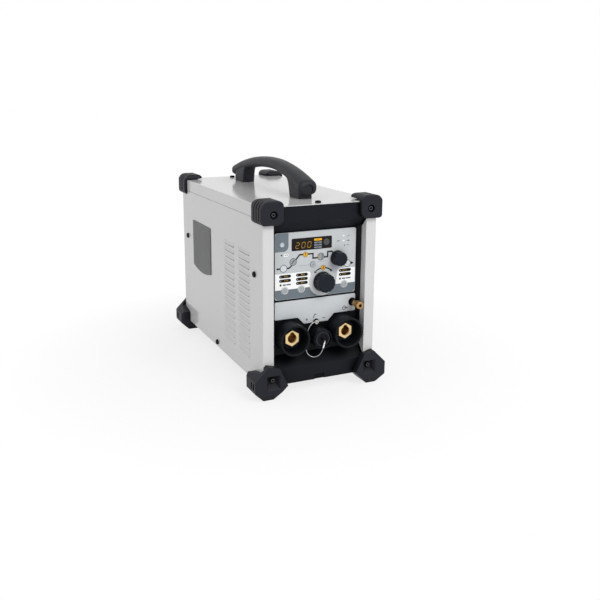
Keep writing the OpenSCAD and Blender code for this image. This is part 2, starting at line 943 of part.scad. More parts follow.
module dust_cap() {
  face = cap_front - cap_face_set;
  root = cap_r - 2 * knurl_depth;
  color(rubber_black) at_front([connector_x, connector_z]) union() {
    difference() {
      union() {
        translate([0, 0, cap_back]) linear_extrude(cap_l - cap_rim_t) difference() {
          circle(cap_r);
          for (i = [0 : knurl_count - 1])
            rotate(i * 360 / knurl_count) translate([cap_r + knurl_depth, 0])
              circle(2 * knurl_depth, $fn = 4);
        }
        rotate_extrude()
          polygon([[0, cap_front - cap_rim_t - cut], [root, cap_front - cap_rim_t - cut],
            [root, cap_front - cut], [root - cut, cap_front], [0, cap_front]]);
      }
      pipe(barrel_r + run_gap, cap_back - cut, barrel_l + run_gap);
      pipe(cap_rim_r, face, cap_front + cut);
      rotate_extrude()
        polygon([[cap_face_r, face - cap_groove], [cap_rim_r, face - cap_groove], [cap_rim_r, face + cut],
          [cap_face_r, face + cut]]);
      pipe(dish_r, face - dish_d, face + cut);
    }
    pipe(post_r, face - dish_d - cut, cap_front + post_l);
  }
}

// Route of the lanyard: from its screw, down beside the left socket and up to the dust cap
lanyard_start = [lanyard_screw_at[0], recess_y - lanyard_head_t - seat_gap,
  base_z + lanyard_screw_at[1]];
lanyard_end = [connector_x, recess_y - cap_front - post_l - seat_gap, base_z + connector_z];
lanyard_route = [lanyard_start, lanyard_start + [0, -3, 0], [-3, -203.6, 117.6], [-9.6, -204, 115.6],
  [-15.2, -205, 109.8], [-18.4, -206, 104], [-20.8, -206.5, 96], [-22, -207, 86], [-22.4, -208, 76],
  [-21.4, -210, 68], [-17.6, -212.5, 63], [-11.3, -216, 60.8], [-4.6, -219.5, 63.6], [0, -222.4, 71],
  [2, -224.6, 80], [3.4, -226, 87], lanyard_end + [0, -3.4, -1.2], lanyard_end];

module cap_lanyard() {
  color(steel) tube_along(smooth_path(lanyard_route, 3), lanyard_r, 8, [1, 0, 0]);
}

module lanyard_screw() {
  color(steel) at_front(lanyard_screw_at) rotate_extrude()
    polygon([[0, -wall - 2 * cut], [shank_r - fit_gap / 2, -wall - 2 * cut], [shank_r - fit_gap / 2, 0],
      [lanyard_head_r, 0], [lanyard_head_r, lanyard_head_t - 0.8], [lanyard_head_r - 0.8, lanyard_head_t],
      [0, lanyard_head_t]]);
}

outlet_back = 22;
outlet_front = 30.5;
outlet_nut_t = 5;
outlet_nut_out = 2.5;
barb_l = 6;
barb_step = 0.6;
stem_l = 16.5;
head_out = 1.4;
gas_bore_r = 2.2;

module gas_outlet() {
  head = nipple_r + head_out;
  flange = outlet_hole_r + outlet_nut_out;
  color(brass) at_front(outlet_at) rotate_extrude()
    polygon([[gas_bore_r, -outlet_back], [hose_r - 1, -outlet_back], [hose_r, -outlet_back + barb_l],
      [hose_r - barb_step, -outlet_back + barb_l + barb_step], [hose_r - barb_step, -wall - outlet_nut_t],
      [flange, -wall - outlet_nut_t], [flange, -wall], [nipple_r, -wall], [nipple_r, stem_l],
      [head, stem_l + head_out], [head, outlet_front - 1], [head - 1, outlet_front],
      [gas_bore_r, outlet_front]]);
}

// Gas line inside

inlet_back = 16;
valve_at = [inlet_at[0], rear_inner_y - valve_d / 2, base_z + inlet_at[1]];
nozzle_l = 4;
hose_start = valve_at + [valve_w / 2 + nozzle_l + seat_gap, 0, 0];
hose_end = [outlet_at[0], recess_y + outlet_back, base_z + outlet_at[1]];

module gas_hose() {
  color(moulding_black) tube_along(smooth_path([hose_start, hose_start + [1.5, 0, 0],
    hose_start + [3, 0, 0], [hose_x - 1.5, hose_start[1] - 7, hose_start[2]],
    [hose_x, hose_start[1] - 16, hose_start[2]],
    [hose_x, hose_start[1] - 80, hose_start[2] + 6], [hose_x, 20, hose_start[2] + 30],
    [hose_x, hose_end[1] + 130, hose_end[2] - 24], [hose_x, hose_end[1] + 80, hose_end[2] - 6],
    [hose_x - 6, hose_end[1] + 44, hose_end[2]], hose_end + [1, 20, 0], hose_end + [0, 6, 0],
    hose_end + [0, 3, 0], hose_end], 4), hose_r, 10, [0, 0, 1]);
}

module gas_valve() {
  color(steel) translate(valve_at) difference() {
    union() {
      cube([valve_w, valve_d, valve_h], center = true);
      pipe(valve_w / 2 - 2, valve_h / 2 - cut, valve_h / 2 + solenoid_h);
      rotate([0, 90, 0]) pipe(hose_r, 0, valve_w / 2 + nozzle_l);
    }
    rotate([90, 0, 0]) pipe(inlet_thread_r + fit_gap, -valve_d, inlet_back - valve_d / 2 - wall + cut);
  }
}

module gas_inlet() {
  color(brass) at_rear(inlet_at) rotate_extrude()
    polygon([[gas_bore_r, -inlet_back], [inlet_thread_r, -inlet_back], [inlet_thread_r, 0],
      [inlet_flange_r, 0], [inlet_flange_r, inlet_flange_t], [inlet_r, inlet_flange_t],
      [inlet_r, inlet_l - 2], [inlet_r - 0.8, inlet_l], [gas_bore_r, inlet_l]]);
}

// Handle

function arch_z(y) =
  top_z + handle_h - pow(y - arch_mid, 2) / (2 * (y < arch_mid ? arch_front_r : arch_rear_r));
function nose_share(y) = pow(max(0, arch_mid - y) / (arch_mid + handle_front), 2);
function grip_thick(y) = grip_t + nose_extra * nose_share(y);
function end_scale(y) = let (e = min(y + handle_front, handle_rear - y) / end_round)
  e >= 1 ? 1 : 1 - 2 * end_round / grip_w * (1 - sqrt(max(0, 1 - pow(1 - e, 2))));
function rounded_wave(c) = sign(c) * pow(abs(c), 2 / grip_shape);

module carry_handle() {
  middle = (handle_rear - handle_front) / 2;
  reach = (handle_rear + handle_front) / 2;
  color(rubber_black) difference() {
    union() {
      loft([for (i = [0 : grip_rings])
        let (y = middle - reach * cos(180 * i / grip_rings), s = end_scale(y), t = grip_thick(y),
          w = grip_w / 2 + nose_wide * nose_share(y))
          [for (k = [0 : grip_sides - 1])
            let (a = 360 * k / grip_sides)
              [w * s * rounded_wave(cos(a)), y, arch_z(y) - t / 2 + t / 2 * s * rounded_wave(sin(a))]]]);
      for (leg = [front_leg, rear_leg], i = [0 : len(leg) - 2])
        hull() {
          leg_level(leg[i]);
          leg_level(leg[i + 1]);
        }
    }
    translate([0, -handle_front + nose_dish_d, top_z + nose_dish_z]) rotate([90, 0, 0])
      cylinder(r = nose_dish_r, h = nose_dish_d + cut);
  }
}

module leg_level(level) {
  translate([0, (level[1] + level[2]) / 2, top_z + level[0]])
    linear_extrude(leg_slab) rounded(leg_w, level[2] - level[1], leg_corner, $fn = 24);
}

// Corner pieces, made for the front right corner and mirrored

module corner_box() {
  block([-half_w, -half_d, base_z], [half_w, half_d, top_z]);
}

module bumper_outline(inset) {
  shaped([half_w - bumper_in + inset, top_z - bumper_low + inset],
    [half_w + bumper_out - inset, top_z + bumper_up - inset], [14, 8, 15, 12]);
}

module bumper() {
  front = -half_d - bumper_front;
  back = -half_d + bumper_back;
  inner = half_w - bumper_in;
  color(rubber_black) difference() {
    intersection() {
      along_y(front, back) bumper_outline(0);
      along_x(inner, half_w + bumper_out)
        shaped([front, top_z - bumper_low], [back, top_z + bumper_up], [2.5, 8, 8, 3]);
      along_z(top_z - bumper_low, top_z + bumper_up)
        shaped([inner, front], [half_w + bumper_out, back], [3, 2.5, 3, 8]);
    }
    corner_box();
    // The inner edge stands clear of the cover
    along_y(1 - half_d, back + cut)
      polygon([[half_w - bumper_seat, top_z - cut], [half_w - bumper_seat, top_z],
        [inner - cut, top_z + bumper_lift], [inner - cut, top_z - cut]]);
    for (i = [0 : rib_count - 1])
      along_y(front + rib_start + i * rib_pitch, front + rib_start + i * rib_pitch + rib_w) difference() {
        translate([inner - cut, top_z - bumper_low - cut])
          square([bumper_in + bumper_out + 2 * cut, bumper_low + bumper_up + 2 * cut]);
        bumper_outline(rib_depth);
        translate([inner - cut, top_z - bumper_low - cut])
          square([bumper_in - bumper_screw[0], bumper_low + bumper_up + 2 * cut]);
      }
    translate([half_w - bumper_screw[0], front, top_z - bumper_screw[1]]) rotate([90, 0, 0]) {
      pipe(recess_r, -recess_l, cut);
      pipe(shank_r + screw_gap, -2 * bumper_front, cut);
    }
  }
}

module bumper_front_left() {
  mirror([1, 0, 0]) bumper();
}

module bumper_front_right() {
  bumper();
}

module bumper_rear_left() {
  mirror([1, 0, 0]) mirror([0, 1, 0]) bumper();
}

module bumper_rear_right() {
  mirror([0, 1, 0]) bumper();
}

module foot() {
  front = -half_d - foot_front;
  back = front + foot_l;
  side = half_w + foot_out;
  at = [half_w - foot_screw[0], base_z + foot_screw[1]];
  mouth_z = at[1] - funnel_dip;
  shoulder = front + foot_plate;
  color(rubber_black) difference() {
    intersection() {
      along_y(front, back)
        translate([half_w, base_z]) polygon(foot_front_view);
      along_z(0, base_z + foot_top)
        polygon([[half_w - foot_in, front], [side - foot_edge, front], [side, front + foot_edge],
          [side, back - foot_heel], [side - foot_heel, back], [half_w - foot_in, back]]);
      along_x(half_w - foot_in, side)
        polygon([[front, base_z - foot_nose], [front, base_z + foot_top], [back, base_z + foot_top],
          [back, base_z - 1], [back - foot_nose, 0], [front + foot_nose, 0]]);
    }
    corner_box();
    // Beside the box the foot is lower than its front plate
    along_x(half_w - 1, side + cut)
      polygon([[shoulder, base_z + foot_top + cut], [shoulder + shoulder_run, base_z + shoulder_z[0]],
        [back + cut, base_z + shoulder_z[1]], [back + cut, base_z + foot_top + cut]]);
    intersection() {
      along_x(at[0] - funnel_w, at[0] + funnel_w)
        polygon([[front - cut, mouth_z - funnel_w / 2 - cut], [front + funnel_d, at[1] - funnel_floor / 2],
          [front + funnel_d, at[1] + funnel_floor / 2], [front - cut, mouth_z + funnel_w / 2 + cut]]);
      along_z(mouth_z - funnel_w, at[1] + funnel_w)
        polygon([[at[0] - funnel_w / 2 - cut, front - cut], [at[0] - funnel_floor / 2, front + funnel_d],
          [at[0] + funnel_floor / 2, front + funnel_d], [at[0] + funnel_w / 2 + cut, front - cut]]);
    }
    translate([at[0], front, at[1]]) rotate([90, 0, 0]) pipe(shank_r + screw_gap, -2 * foot_front, cut);
    for (y = groove_y)
      block([side - groove_d, front + y, base_z + groove_z[0]],
        [side + cut, front + y + groove_w, base_z + groove_z[1]]);
  }
}

module foot_front_left() {
  mirror([1, 0, 0]) foot();
}

module foot_front_right() {
  foot();
}

module foot_rear_left() {
  mirror([1, 0, 0]) mirror([0, 1, 0]) foot();
}

module foot_rear_right() {
  mirror([0, 1, 0]) foot();
}

module screw(length) {
  rotate_extrude()
    polygon([[0, -length], [shank_r, -length], [shank_r, 0], [head_r, 0], [head_r, head_h - 1],
      [head_r - 1, head_h], [2, head_h], [2, head_h - 1.5], [0, head_h - 1.5]]);
}

module corner_screws() {
  color("#1c1c1f") for (sx = [-1, 1], sy = [-1, 1]) {
    translate([sx * (half_w - bumper_screw[0]), sy * (half_d + bumper_front - recess_l),
      top_z - bumper_screw[1]])
      rotate([-sy * 90, 0, 0]) screw(bumper_front - recess_l + shank_l);
    translate([sx * (half_w - foot_screw[0]), sy * (half_d + foot_front - funnel_d), base_z + foot_screw[1]])
      rotate([-sy * 90, 0, 0]) screw(foot_front - funnel_d + shank_l);
  }
}

module casing_screws() {
  color("#1c1c1f") {
    for (p = cover_screws)
      translate([p[0], p[1], top_z]) screw(shank_l);
    for (sx = [-1, 1], s = concat(side_screws, [tray_screw]))
      translate([sx * half_w, -half_d + s[0], base_z + s[1]]) rotate([0, sx * 90, 0])
        screw(s == tray_screw ? 3 * sheet : shank_l);
  }
}

module side_badge() {
  color("#6e6e6e") along_x(-half_w - badge_t, -half_w) intersection() {
    shaped([badge_y - badge_w / 2, base_z + badge_low], [badge_y + badge_w / 2, base_z + badge_top],
      [1, 1, 1, 1]);
    translate([badge_y, base_z + badge_low + badge_arc]) circle(badge_arc, $fn = 96);
  }
}

// Rear

module rear_panel() {
  ear_x = inner_x - sheet - fit_gap;
  low = [-inner_x + fit_gap, rear_inner_y, tray_top];
  color(moulding_black) difference() {
    union() {
      block(low, [inner_x - fit_gap, rear_y, seam_z - joggle_h - cut]);
      block([-ear_x, rear_inner_y, seam_z - joggle_h - 2 * cut], [ear_x, rear_y, top_z - sheet]);
      block([-ear_x, half_d - top_flange_d, top_z - sheet - wall], [ear_x, rear_ear_y, top_z - sheet]);
      both_sides() {
        block([fascia_half, rear_y - cut, top_z - brow_h], [ear_x, rear_ear_y, top_z - sheet]);
        block([fascia_half, rear_y - cut, tray_top], [ear_x, rear_ear_y, base_z + sill_h]);
        block([inner_x - fit_gap - side_wall_t, half_d - side_wall_d - joggle_inset / 2,
          base_z + tray_lip + 2 * cut],
          [inner_x - fit_gap, rear_y, seam_z - joggle_h - 2 * cut]);
      }
    }
    at_rear([0, fan_z]) pipe(fan_r, -2 * wall, cut);
    at_rear(switch_at) translate([0, 0, -2 * wall]) linear_extrude(3 * wall)
      square([well[0] + 2 * switch_wall + fit_gap, well[1] + 2 * switch_wall + fit_gap], center = true);
    at_rear(gland_at) pipe(gland_thread_r + fit_gap, -2 * wall, cut);
    at_rear(inlet_at) pipe(inlet_thread_r + fit_gap, -2 * wall, cut);
    both_sides() {
      translate([half_w - bumper_screw[0], rear_y, top_z - bumper_screw[1]])
        rotate([90, 0, 0]) cylinder(r = shank_r + fit_gap / 2, h = 4 * rear_recess, center = true);
      translate([half_w - foot_screw[0], rear_y, base_z + foot_screw[1]])
        rotate([90, 0, 0]) cylinder(r = shank_r + fit_gap / 2, h = 4 * rear_recess, center = true);
      translate([inner_x, -half_d + side_screws[1][0], base_z + side_screws[1][1]])
        rotate([0, 90, 0]) cylinder(r = shank_r + fit_gap / 2, h = 4 * side_wall_t, center = true);
    }
    translate([cover_screws[1][0], cover_screws[1][1], top_z])
      cylinder(r = shank_r + fit_gap / 2, h = 6 * wall, center = true);
  }
}

module ring(r, w) {
  difference() {
    circle(r);
    circle(r - w);
  }
}

module fan_guard() {
  color(rubber_black) at_rear([0, fan_z]) linear_extrude(guard_t) union() {
    circle(guard_hub);
    for (r = [guard_hub + guard_pitch : guard_pitch : fan_r - 2 * guard_ring]) ring(r, guard_ring);
    ring(fan_r + guard_rim, guard_rim + guard_ring);
    for (a = [45, 135])
      rotate(a) square([2 * fan_r, guard_ring], center = true);
  }
}

module fan_frame() {
  back = -wall;
  color(moulding_black) at_rear([0, fan_z]) difference() {
    union() {
      difference() {
        translate([0, 0, back - fan_d]) linear_extrude(fan_d) rounded(fan_w, fan_w, 6);
        pipe(fan_r, back - fan_d - cut, back + cut);
      }
      pipe(hub_r, back - fan_d, back - fan_d + stator_t);
      for (a = [0, 90])
        rotate([0, 0, a]) translate([-fan_r - cut, -strut_w / 2, back - fan_d])
          cube([2 * fan_r + 2 * cut, strut_w, stator_t]);
    }
    pipe(axle_r + spindle_gap, back - fan_d - cut, back - fan_d + stator_t + cut);
  }
}

module fan_rotor() {
  low = -wall - fan_d + stator_t + run_gap;
  high = -wall - 1;
  mid = (low + high) / 2;
  color("#3a3d42") at_rear([0, fan_z]) union() {
    pipe(hub_r, low, high);
    pipe(axle_r, low - stator_t, low + cut);
    intersection() {
      for (i = [0 : blade_count - 1])
        rotate([0, 0, i * 360 / blade_count]) translate([hub_r - 2, 0, mid]) rotate([blade_angle, 0, 0])
          translate([0, -blade_chord / 2, -blade_t / 2]) cube([fan_r, blade_chord, blade_t]);
      pipe(fan_r - blade_gap, low, high);
    }
  }
}

module mains_switch() {
  body = [well[0] + 2 * switch_wall, well[1] + 2 * switch_wall];
  color(rubber_black) at_rear(switch_at) difference() {
    union() {
      linear_extrude(bezel_t) rounded(bezel[0], bezel[1], 2);
      translate([0, 0, -switch_d]) linear_extrude(switch_d + cut) square(body, center = true);
    }
    translate([0, 0, bezel_t - well_d]) linear_extrude(well_d + cut) square(well, center = true);
    rotate([0, 90, 0]) cylinder(r = pivot_r + spindle_gap, h = body[0] - 1, center = true);
  }
}

module switch_rocker() {
  color("#1a1b1d") at_rear(switch_at) rotate([rocker_tilt, 0, 0]) union() {
    rotate([90, 0, 90]) translate([0, 0, -rocker_w / 2]) linear_extrude(rocker_w)
      polygon([[-rocker_l / 2, 4], [0, 2.6], [rocker_l / 2, 4], [rocker_l / 2 - 0.6, -1], [3.5, -3.6],
        [-3.5, -3.6], [-rocker_l / 2 + 0.6, -1]]);
    rotate([0, 90, 0]) cylinder(r = pivot_r, h = well[0] + switch_wall, center = true);
  }
}

module cable_gland() {
  color(rubber_black) at_rear(gland_at) difference() {
    union() {
      hexagon(gland_hex, 0, gland_hex_t);
      rotate_extrude() polygon(gland_dome);
      pipe(gland_thread_r, -wall - gland_nut_t - 2 * cut, cut);
      hexagon(gland_hex, -wall - gland_nut_t, -wall);
    }
    pipe(gland_bore_r, -wall - gland_nut_t - 3 * cut, gland_dome[5][1] + cut);
  }
}

// Inside

module output_inductor() {
  color(copper) translate([-coil_x, -half_d + coil_back, tray_top]) rotate_extrude()
    translate([(inductor_r + 11) / 2, coil_h / 2]) rounded(inductor_r - 11, coil_h, 6);
}

module ignition_coil() {
  color("#2b2d31") translate([coil_x - 2, -half_d + coil_back, tray_top]) union() {
    linear_extrude(coil_h) rounded(ignition_w, ignition_d, 6);
    for (sy = [-1, 1])
      translate([-ignition_w / 4, sy * ignition_d / 4 + 18, coil_h - cut]) cylinder(r = 4, h = 9);
  }
}

core_y = -26;

module transformer_core() {
  color("#3b3c40") translate([0, core_y, tray_top]) along_y(-core_t / 2, core_t / 2) difference() {
    translate([-core_w / 2, 0]) square([core_w, core_h]);
    difference() {
      translate([-core_w / 2 + core_limb, core_limb])
        square([core_w - 2 * core_limb, core_h - 2 * core_limb]);
      translate([-centre_limb / 2, 0]) square([centre_limb, core_h]);
    }
  }
}

module transformer_winding() {
  outer = [core_w - 2 * core_limb - 2 * winding_gap, core_d];
  color(copper) translate([0, core_y, tray_top + core_limb + winding_gap])
    linear_extrude(core_h - 2 * core_limb - 2 * winding_gap) difference() {
      rounded(outer[0], outer[1], 4);
      square([centre_limb + 2 * winding_gap, core_t + 2 * winding_gap], center = true);
    }
}

sink_y = rear_inner_y - sink_back - sink_l;

module heat_sink() {
  pitch = (sink_w - fin_t) / (fin_count - 1);
  color("#b9bcbf") translate([0, 0, tray_top]) along_y(sink_y, sink_y + sink_l) union() {
    translate([-sink_w / 2, sink_h - sink_base]) square([sink_w, sink_base]);
    for (i = [0 : fin_count - 1])
      let (low = i == 0 || i == fin_count - 1 ? 0 : 8)
        translate([-sink_w / 2 + i * pitch, low]) square([fin_t, sink_h - sink_base - low + cut]);
  }
}

module power_modules() {
  z = tray_top + sink_h;
  color("#d8d4c8") for (x = [-46, 0, 46], y = [sink_y + 30, sink_y + 84])
    block([x - 17, y - 20, z], [x + 17, y + 20, z + module_h]);
}

board_z = tray_top + sink_h + post_h;

module power_board() {
  back = sink_y + sink_l;
  color(board_green) {
    block([-sink_w / 2, back - power_board_l, board_z], [sink_w / 2, back, board_z + board_t]);
    for (sx = [-1, 1], y = [sink_y + 5, back - 5])
      translate([sx * (sink_w / 2 - 6), y, tray_top + sink_h]) cylinder(r = 3, h = post_h + cut);
  }
}

module capacitors() {
  color("#22305a") for (x = [-44, 0, 44])
    translate([x, sink_y + sink_l - 40, board_z + board_t]) cylinder(r = cap_can_r, h = cap_can_h);
}

base_tray();
left_side_panel();
right_side_panel();
top_cover();
front_fascia();
rear_panel();
bumper_front_left();
bumper_front_right();
bumper_rear_left();
bumper_rear_right();
foot_front_left();
foot_front_right();
foot_rear_left();
foot_rear_right();
corner_screws();
casing_screws();
carry_handle();
side_badge();
control_panel();
display_window();
control_board();
main_encoder();
select_encoder();
main_knob();
select_knob();
mode_button();
trigger_button();
process_button();
cycle_button();
display_button();
standby_button();
name_plate();
left_socket_collar();
right_socket_collar();
left_socket_contact();
right_socket_contact();
socket_nuts();
busbars();
remote_connector();
dust_cap();
cap_lanyard();
lanyard_screw();
gas_outlet();
gas_hose();
gas_valve();
gas_inlet();
output_inductor();
ignition_coil();
transformer_core();
transformer_winding();
heat_sink();
power_modules();
power_board();
capacitors();
fan_frame();
fan_rotor();
fan_guard();
mains_switch();
switch_rocker();
cable_gland();
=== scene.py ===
import json
import math
import bpy
import bmesh
from mathutils import Matrix, Vector


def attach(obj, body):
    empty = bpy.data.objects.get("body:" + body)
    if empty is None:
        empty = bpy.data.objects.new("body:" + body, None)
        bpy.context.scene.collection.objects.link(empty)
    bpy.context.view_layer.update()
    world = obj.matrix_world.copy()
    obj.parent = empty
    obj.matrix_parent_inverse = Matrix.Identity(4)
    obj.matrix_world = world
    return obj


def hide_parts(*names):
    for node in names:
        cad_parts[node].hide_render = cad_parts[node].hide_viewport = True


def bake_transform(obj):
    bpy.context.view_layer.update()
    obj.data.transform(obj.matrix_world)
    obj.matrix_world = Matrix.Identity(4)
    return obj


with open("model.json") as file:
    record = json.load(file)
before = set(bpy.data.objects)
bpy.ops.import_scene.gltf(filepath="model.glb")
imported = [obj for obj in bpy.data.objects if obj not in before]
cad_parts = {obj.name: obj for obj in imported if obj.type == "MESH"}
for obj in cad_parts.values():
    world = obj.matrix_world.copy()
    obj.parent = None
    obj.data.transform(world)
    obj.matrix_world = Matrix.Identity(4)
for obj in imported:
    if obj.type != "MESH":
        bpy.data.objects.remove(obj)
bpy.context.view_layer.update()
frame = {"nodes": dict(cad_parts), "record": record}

nodes = frame["nodes"]
MM = 0.001
FORWARD = Vector((0, -1, 0))

# Camera

IMAGE_SIDE = 600  # pixels
FOCAL_LENGTH = 729.94  # pixels
SENSOR = 36  # millimetres


def add_camera():
    """A camera fitted to the corners of the casing."""
    data = bpy.data.cameras.new("camera")
    data.sensor_width = SENSOR
    data.lens = FOCAL_LENGTH / IMAGE_SIDE * SENSOR
    data.shift_x = 0.0333
    data.shift_y = -0.075
    data.clip_start = 0.01
    right = Vector((0.91298, -0.40800, 0.00109))
    up = Vector((0.08781, 0.19912, 0.97603))
    back = Vector((-0.39844, -0.89101, 0.21762))
    place = Matrix((right, up, back)).transposed().to_4x4()
    place.translation = Vector((-0.5375, -1.2525, 0.4952))
    cam = bpy.data.objects.new("camera", data)
    cam.matrix_world = place
    bpy.context.collection.objects.link(cam)
    bpy.context.scene.camera = cam


add_camera()
bpy.context.scene.view_settings.view_transform = "Standard"

# Materials

CLOUD_STOPS = (0.3, 0.7)  # the part of a noise in which a colour goes from dark to light
EDGE_TURN = (0.98, 0.8)  # cosine of the turn from a flat face to the top of an edge, across which the painted highlight comes in
HOLLOW = (0.9, 0.5)  # open sky from a face without painted shade to a hollow with the most of it
# Painted shade in hollows: its darkest tone as a share of the colour, and how much of it the panel and its
# print get
HOLLOW_SHADE_TONE = 0.15
PANEL_HOLLOW_SHADE = 0.35
COAT_ROUGHNESS = 0.12
GRAIN_DEPTH = 0.4 * MM
MIX_AMOUNT, MIX_FIRST, MIX_SECOND, MIX_RESULT = 0, 6, 7, 2  # sockets of a mix node that are for colours


def linear(hex_code):
    """The linear colour of an sRGB code."""
    def one(c):
        return c / 12.92 if c <= 0.04045 else ((c + 0.055) / 1.055) ** 2.4
    return tuple(one(int(hex_code[i:i + 2], 16) / 255) for i in (1, 3, 5)) + (1.0,)


class Nodes:
    """A material's node tree with short ways to add and join nodes."""

    def __init__(self, name):
        self.material = bpy.data.materials.new(name)
        self.material.use_nodes = True
        self.tree = self.material.node_tree
        self.shader = self.tree.nodes["Principled BSDF"]

    def add(self, kind, **values):
        """A new node, with its settings or else its inputs set by name."""
        node = self.tree.nodes.new(kind)
        for key, value in values.items():
            if hasattr(node, key):
                setattr(node, key, value)
            else:
                node.inputs[key].default_value = value
        return node

    def join(self, a, out, b, into):
        self.tree.links.new(a.outputs[out], b.inputs[into])

    def noise(self, scale, detail):
        """Noise in the object's own coordinates."""
        node = self.add("ShaderNodeTexNoise", Scale=scale, Detail=detail)
        self.join(self.add("ShaderNodeTexCoord"), "Object", node, "Vector")
        return node.outputs["Fac"]

    def two_tone(self, amount, dark, light):
        """A colour that goes from dark to light with the amount."""
        node = self.add("ShaderNodeValToRGB")
        for stop, position, colour in zip(node.color_ramp.elements, CLOUD_STOPS, (dark, light)):
            stop.position, stop.color = position, colour
        self.tree.links.new(amount, node.inputs["Fac"])
        return node.outputs["Color"]

    def ranged(self, value, before, after):
        """The value taken from the range before to the range after, and kept within it."""
        node = self.add("ShaderNodeMapRange")
        for name, number in zip(("From Min", "From Max", "To Min", "To Max"), before + after):
            node.inputs[name].default_value = number
        self.tree.links.new(value, node.inputs["Value"])
        return node.outputs["Result"]

    def mixed(self, amount, colour, other):
        """The colour with a part of the other, plain one."""
        node = self.add("ShaderNodeMix", data_type="RGBA")
        self.tree.links.new(amount, node.inputs[MIX_AMOUNT])
        self.tree.links.new(colour, node.inputs[MIX_FIRST])
        node.inputs[MIX_SECOND].default_value = other
        return node.outputs[MIX_RESULT]

    def maths(self, operation, first, second=0.0):
        """An operation on one or two values, each a number or another node's output."""
        node = self.add("ShaderNodeMath", operation=operation)
        for k, value in enumerate((first, second)):
            if isinstance(value, float):
                node.inputs[k].default_value = value
            else:
                self.tree.links.new(value, node.inputs[k])
        return node.outputs[0]

    def round_zone(self, x, z, radius, mouth, both=True):
        """One within a radius of an axis along Y, behind its mouth; both means left and right of the middle."""
        split = self.add("ShaderNodeSeparateXYZ")
        self.join(self.add("ShaderNodeTexCoord"), "Object", split, 0)
        side = self.maths("ABSOLUTE", split.outputs["X"]) if both else split.outputs["X"]
        across = self.maths("SUBTRACT", side, x)
        up = self.maths("SUBTRACT", split.outputs["Z"], z)
        away = self.maths("ADD", self.maths("MULTIPLY", across, across), self.maths("MULTIPLY", up, up))
        inside = self.maths("LESS_THAN", away, radius * radius)
        return self.maths("MULTIPLY", inside, self.maths("GREATER_THAN", split.outputs["Y"], mouth))


def shade(colour, k):
    """The colour made k times as bright."""
    return tuple(min(1.0, c * k) for c in colour[:3]) + (1.0,)


def surface(name, hex_code, rough, grain=0.0, grain_scale=900.0, vary=0.06, patch=9.0, metal=0.0, coat=0.0,
            rough_vary=0.06, edge=0.0, highlight_gain=4.0, round_edges=0.0, spec=0.5, zones=(), hollow_shade=0.0,
            shade_reach=0.02):
    """A paint, plastic or metal with cloudy colour, uneven gloss and a fine grain.

    Edges are softened over the length round_edges, and get a painted highlight:
    the share edge of a tone the given gain times as bright.
    Hollows within the given distance get painted shade, up to the given share. Each zone gives its colour, and
    then what round_zone takes.
    """
    n = Nodes(name)
    shader = n.shader
    base = linear(hex_code)
    shader.inputs["Metallic"].default_value = metal
    shader.inputs["Specular IOR Level"].default_value = spec
    shader.inputs["Coat Weight"].default_value = coat
    shader.inputs["Coat Roughness"].default_value = COAT_ROUGHNESS
    colour = n.two_tone(n.noise(patch, 4.0), shade(base, 1 - vary), shade(base, 1 + vary))
    if round_edges > 0:
        bevel = n.add("ShaderNodeBevel", samples=4, Radius=round_edges)
    # Painted highlight: edges are lightened, as if lit along their rounding
    if edge > 0:
        turn = n.add("ShaderNodeVectorMath", operation="DOT_PRODUCT")
        n.join(bevel, "Normal", turn, 0)
        n.join(n.add("ShaderNodeNewGeometry"), "Normal", turn, 1)
        highlight_share = n.ranged(turn.outputs["Value"], EDGE_TURN, (0.0, edge))
        colour = n.mixed(highlight_share, colour, shade(base, highlight_gain))
    # Painted shade: hollows found by ambient occlusion are darkened towards a dim copy of the colour
    if hollow_shade > 0:
        sky = n.add("ShaderNodeAmbientOcclusion", samples=8, Distance=shade_reach)
        shade_share = n.ranged(sky.outputs["AO"], HOLLOW, (0.0, hollow_shade))
        colour = n.mixed(shade_share, colour, shade(base, HOLLOW_SHADE_TONE))
    for tone, *zone in zones:
        colour = n.mixed(n.round_zone(*zone), colour, linear(tone))
    n.tree.links.new(colour, shader.inputs["Base Color"])
    gloss = n.ranged(n.noise(patch * 6, 3.0), (0.0, 1.0), (max(0.02, rough - rough_vary), rough + rough_vary))
    n.tree.links.new(gloss, shader.inputs["Roughness"])
    if grain > 0 or round_edges > 0:
        bump = n.add("ShaderNodeBump", Strength=grain, Distance=GRAIN_DEPTH)
        n.tree.links.new(n.noise(grain_scale, 2.0), bump.inputs["Height"])
        if round_edges > 0:
            n.join(bevel, "Normal", bump, "Normal")
        n.join(bump, "Normal", shader, "Normal")
    return n.material


def plain_print(name, hex_code, glow=0.0):
    """Printing ink, with a slightly uneven tone; a lit display glows."""
    # The inks get the same painted shade in the panel's hollows as the overlay
    ink = surface(name, hex_code, 0.45, grain=0.05, grain_scale=2600.0, vary=0.04, patch=60.0, spec=0.12,
                  hollow_shade=PANEL_HOLLOW_SHADE)
    if glow > 0:
        shader = ink.node_tree.nodes["Principled BSDF"]
        shader.inputs["Emission Color"].default_value = linear(hex_code)
        shader.inputs["Emission Strength"].default_value = glow
    return ink


# Places of round zones, across and up, and the depths at which they begin, in metres
# The notch's floor is painted near black as shade
NOTCH, NOTCH_MOUTH = (0.0, 0.02), -0.2138
# The sockets' bores and keyways carry painted shade at these places
SOCKET, SOCKET_MOUTH = (0.05, 0.0975), -0.2117
KEYWAY = (0.05, 0.1042)
OUTLET, OUTLET_MOUTH, SLEEVE_MOUTH = (0.0706, 0.143), -0.2254, -0.2068
CAP = (0.004, 0.091)
CYCLE_LENS_AT = (0.006, 0.2164)
STANDBY_LENS_AT = (0.0626, 0.2538)
CORNER_SCREWS_AT = ((0.088, 0.308), (0.09, 0.034))
ALL_DEPTHS = -0.3  # in front of everything
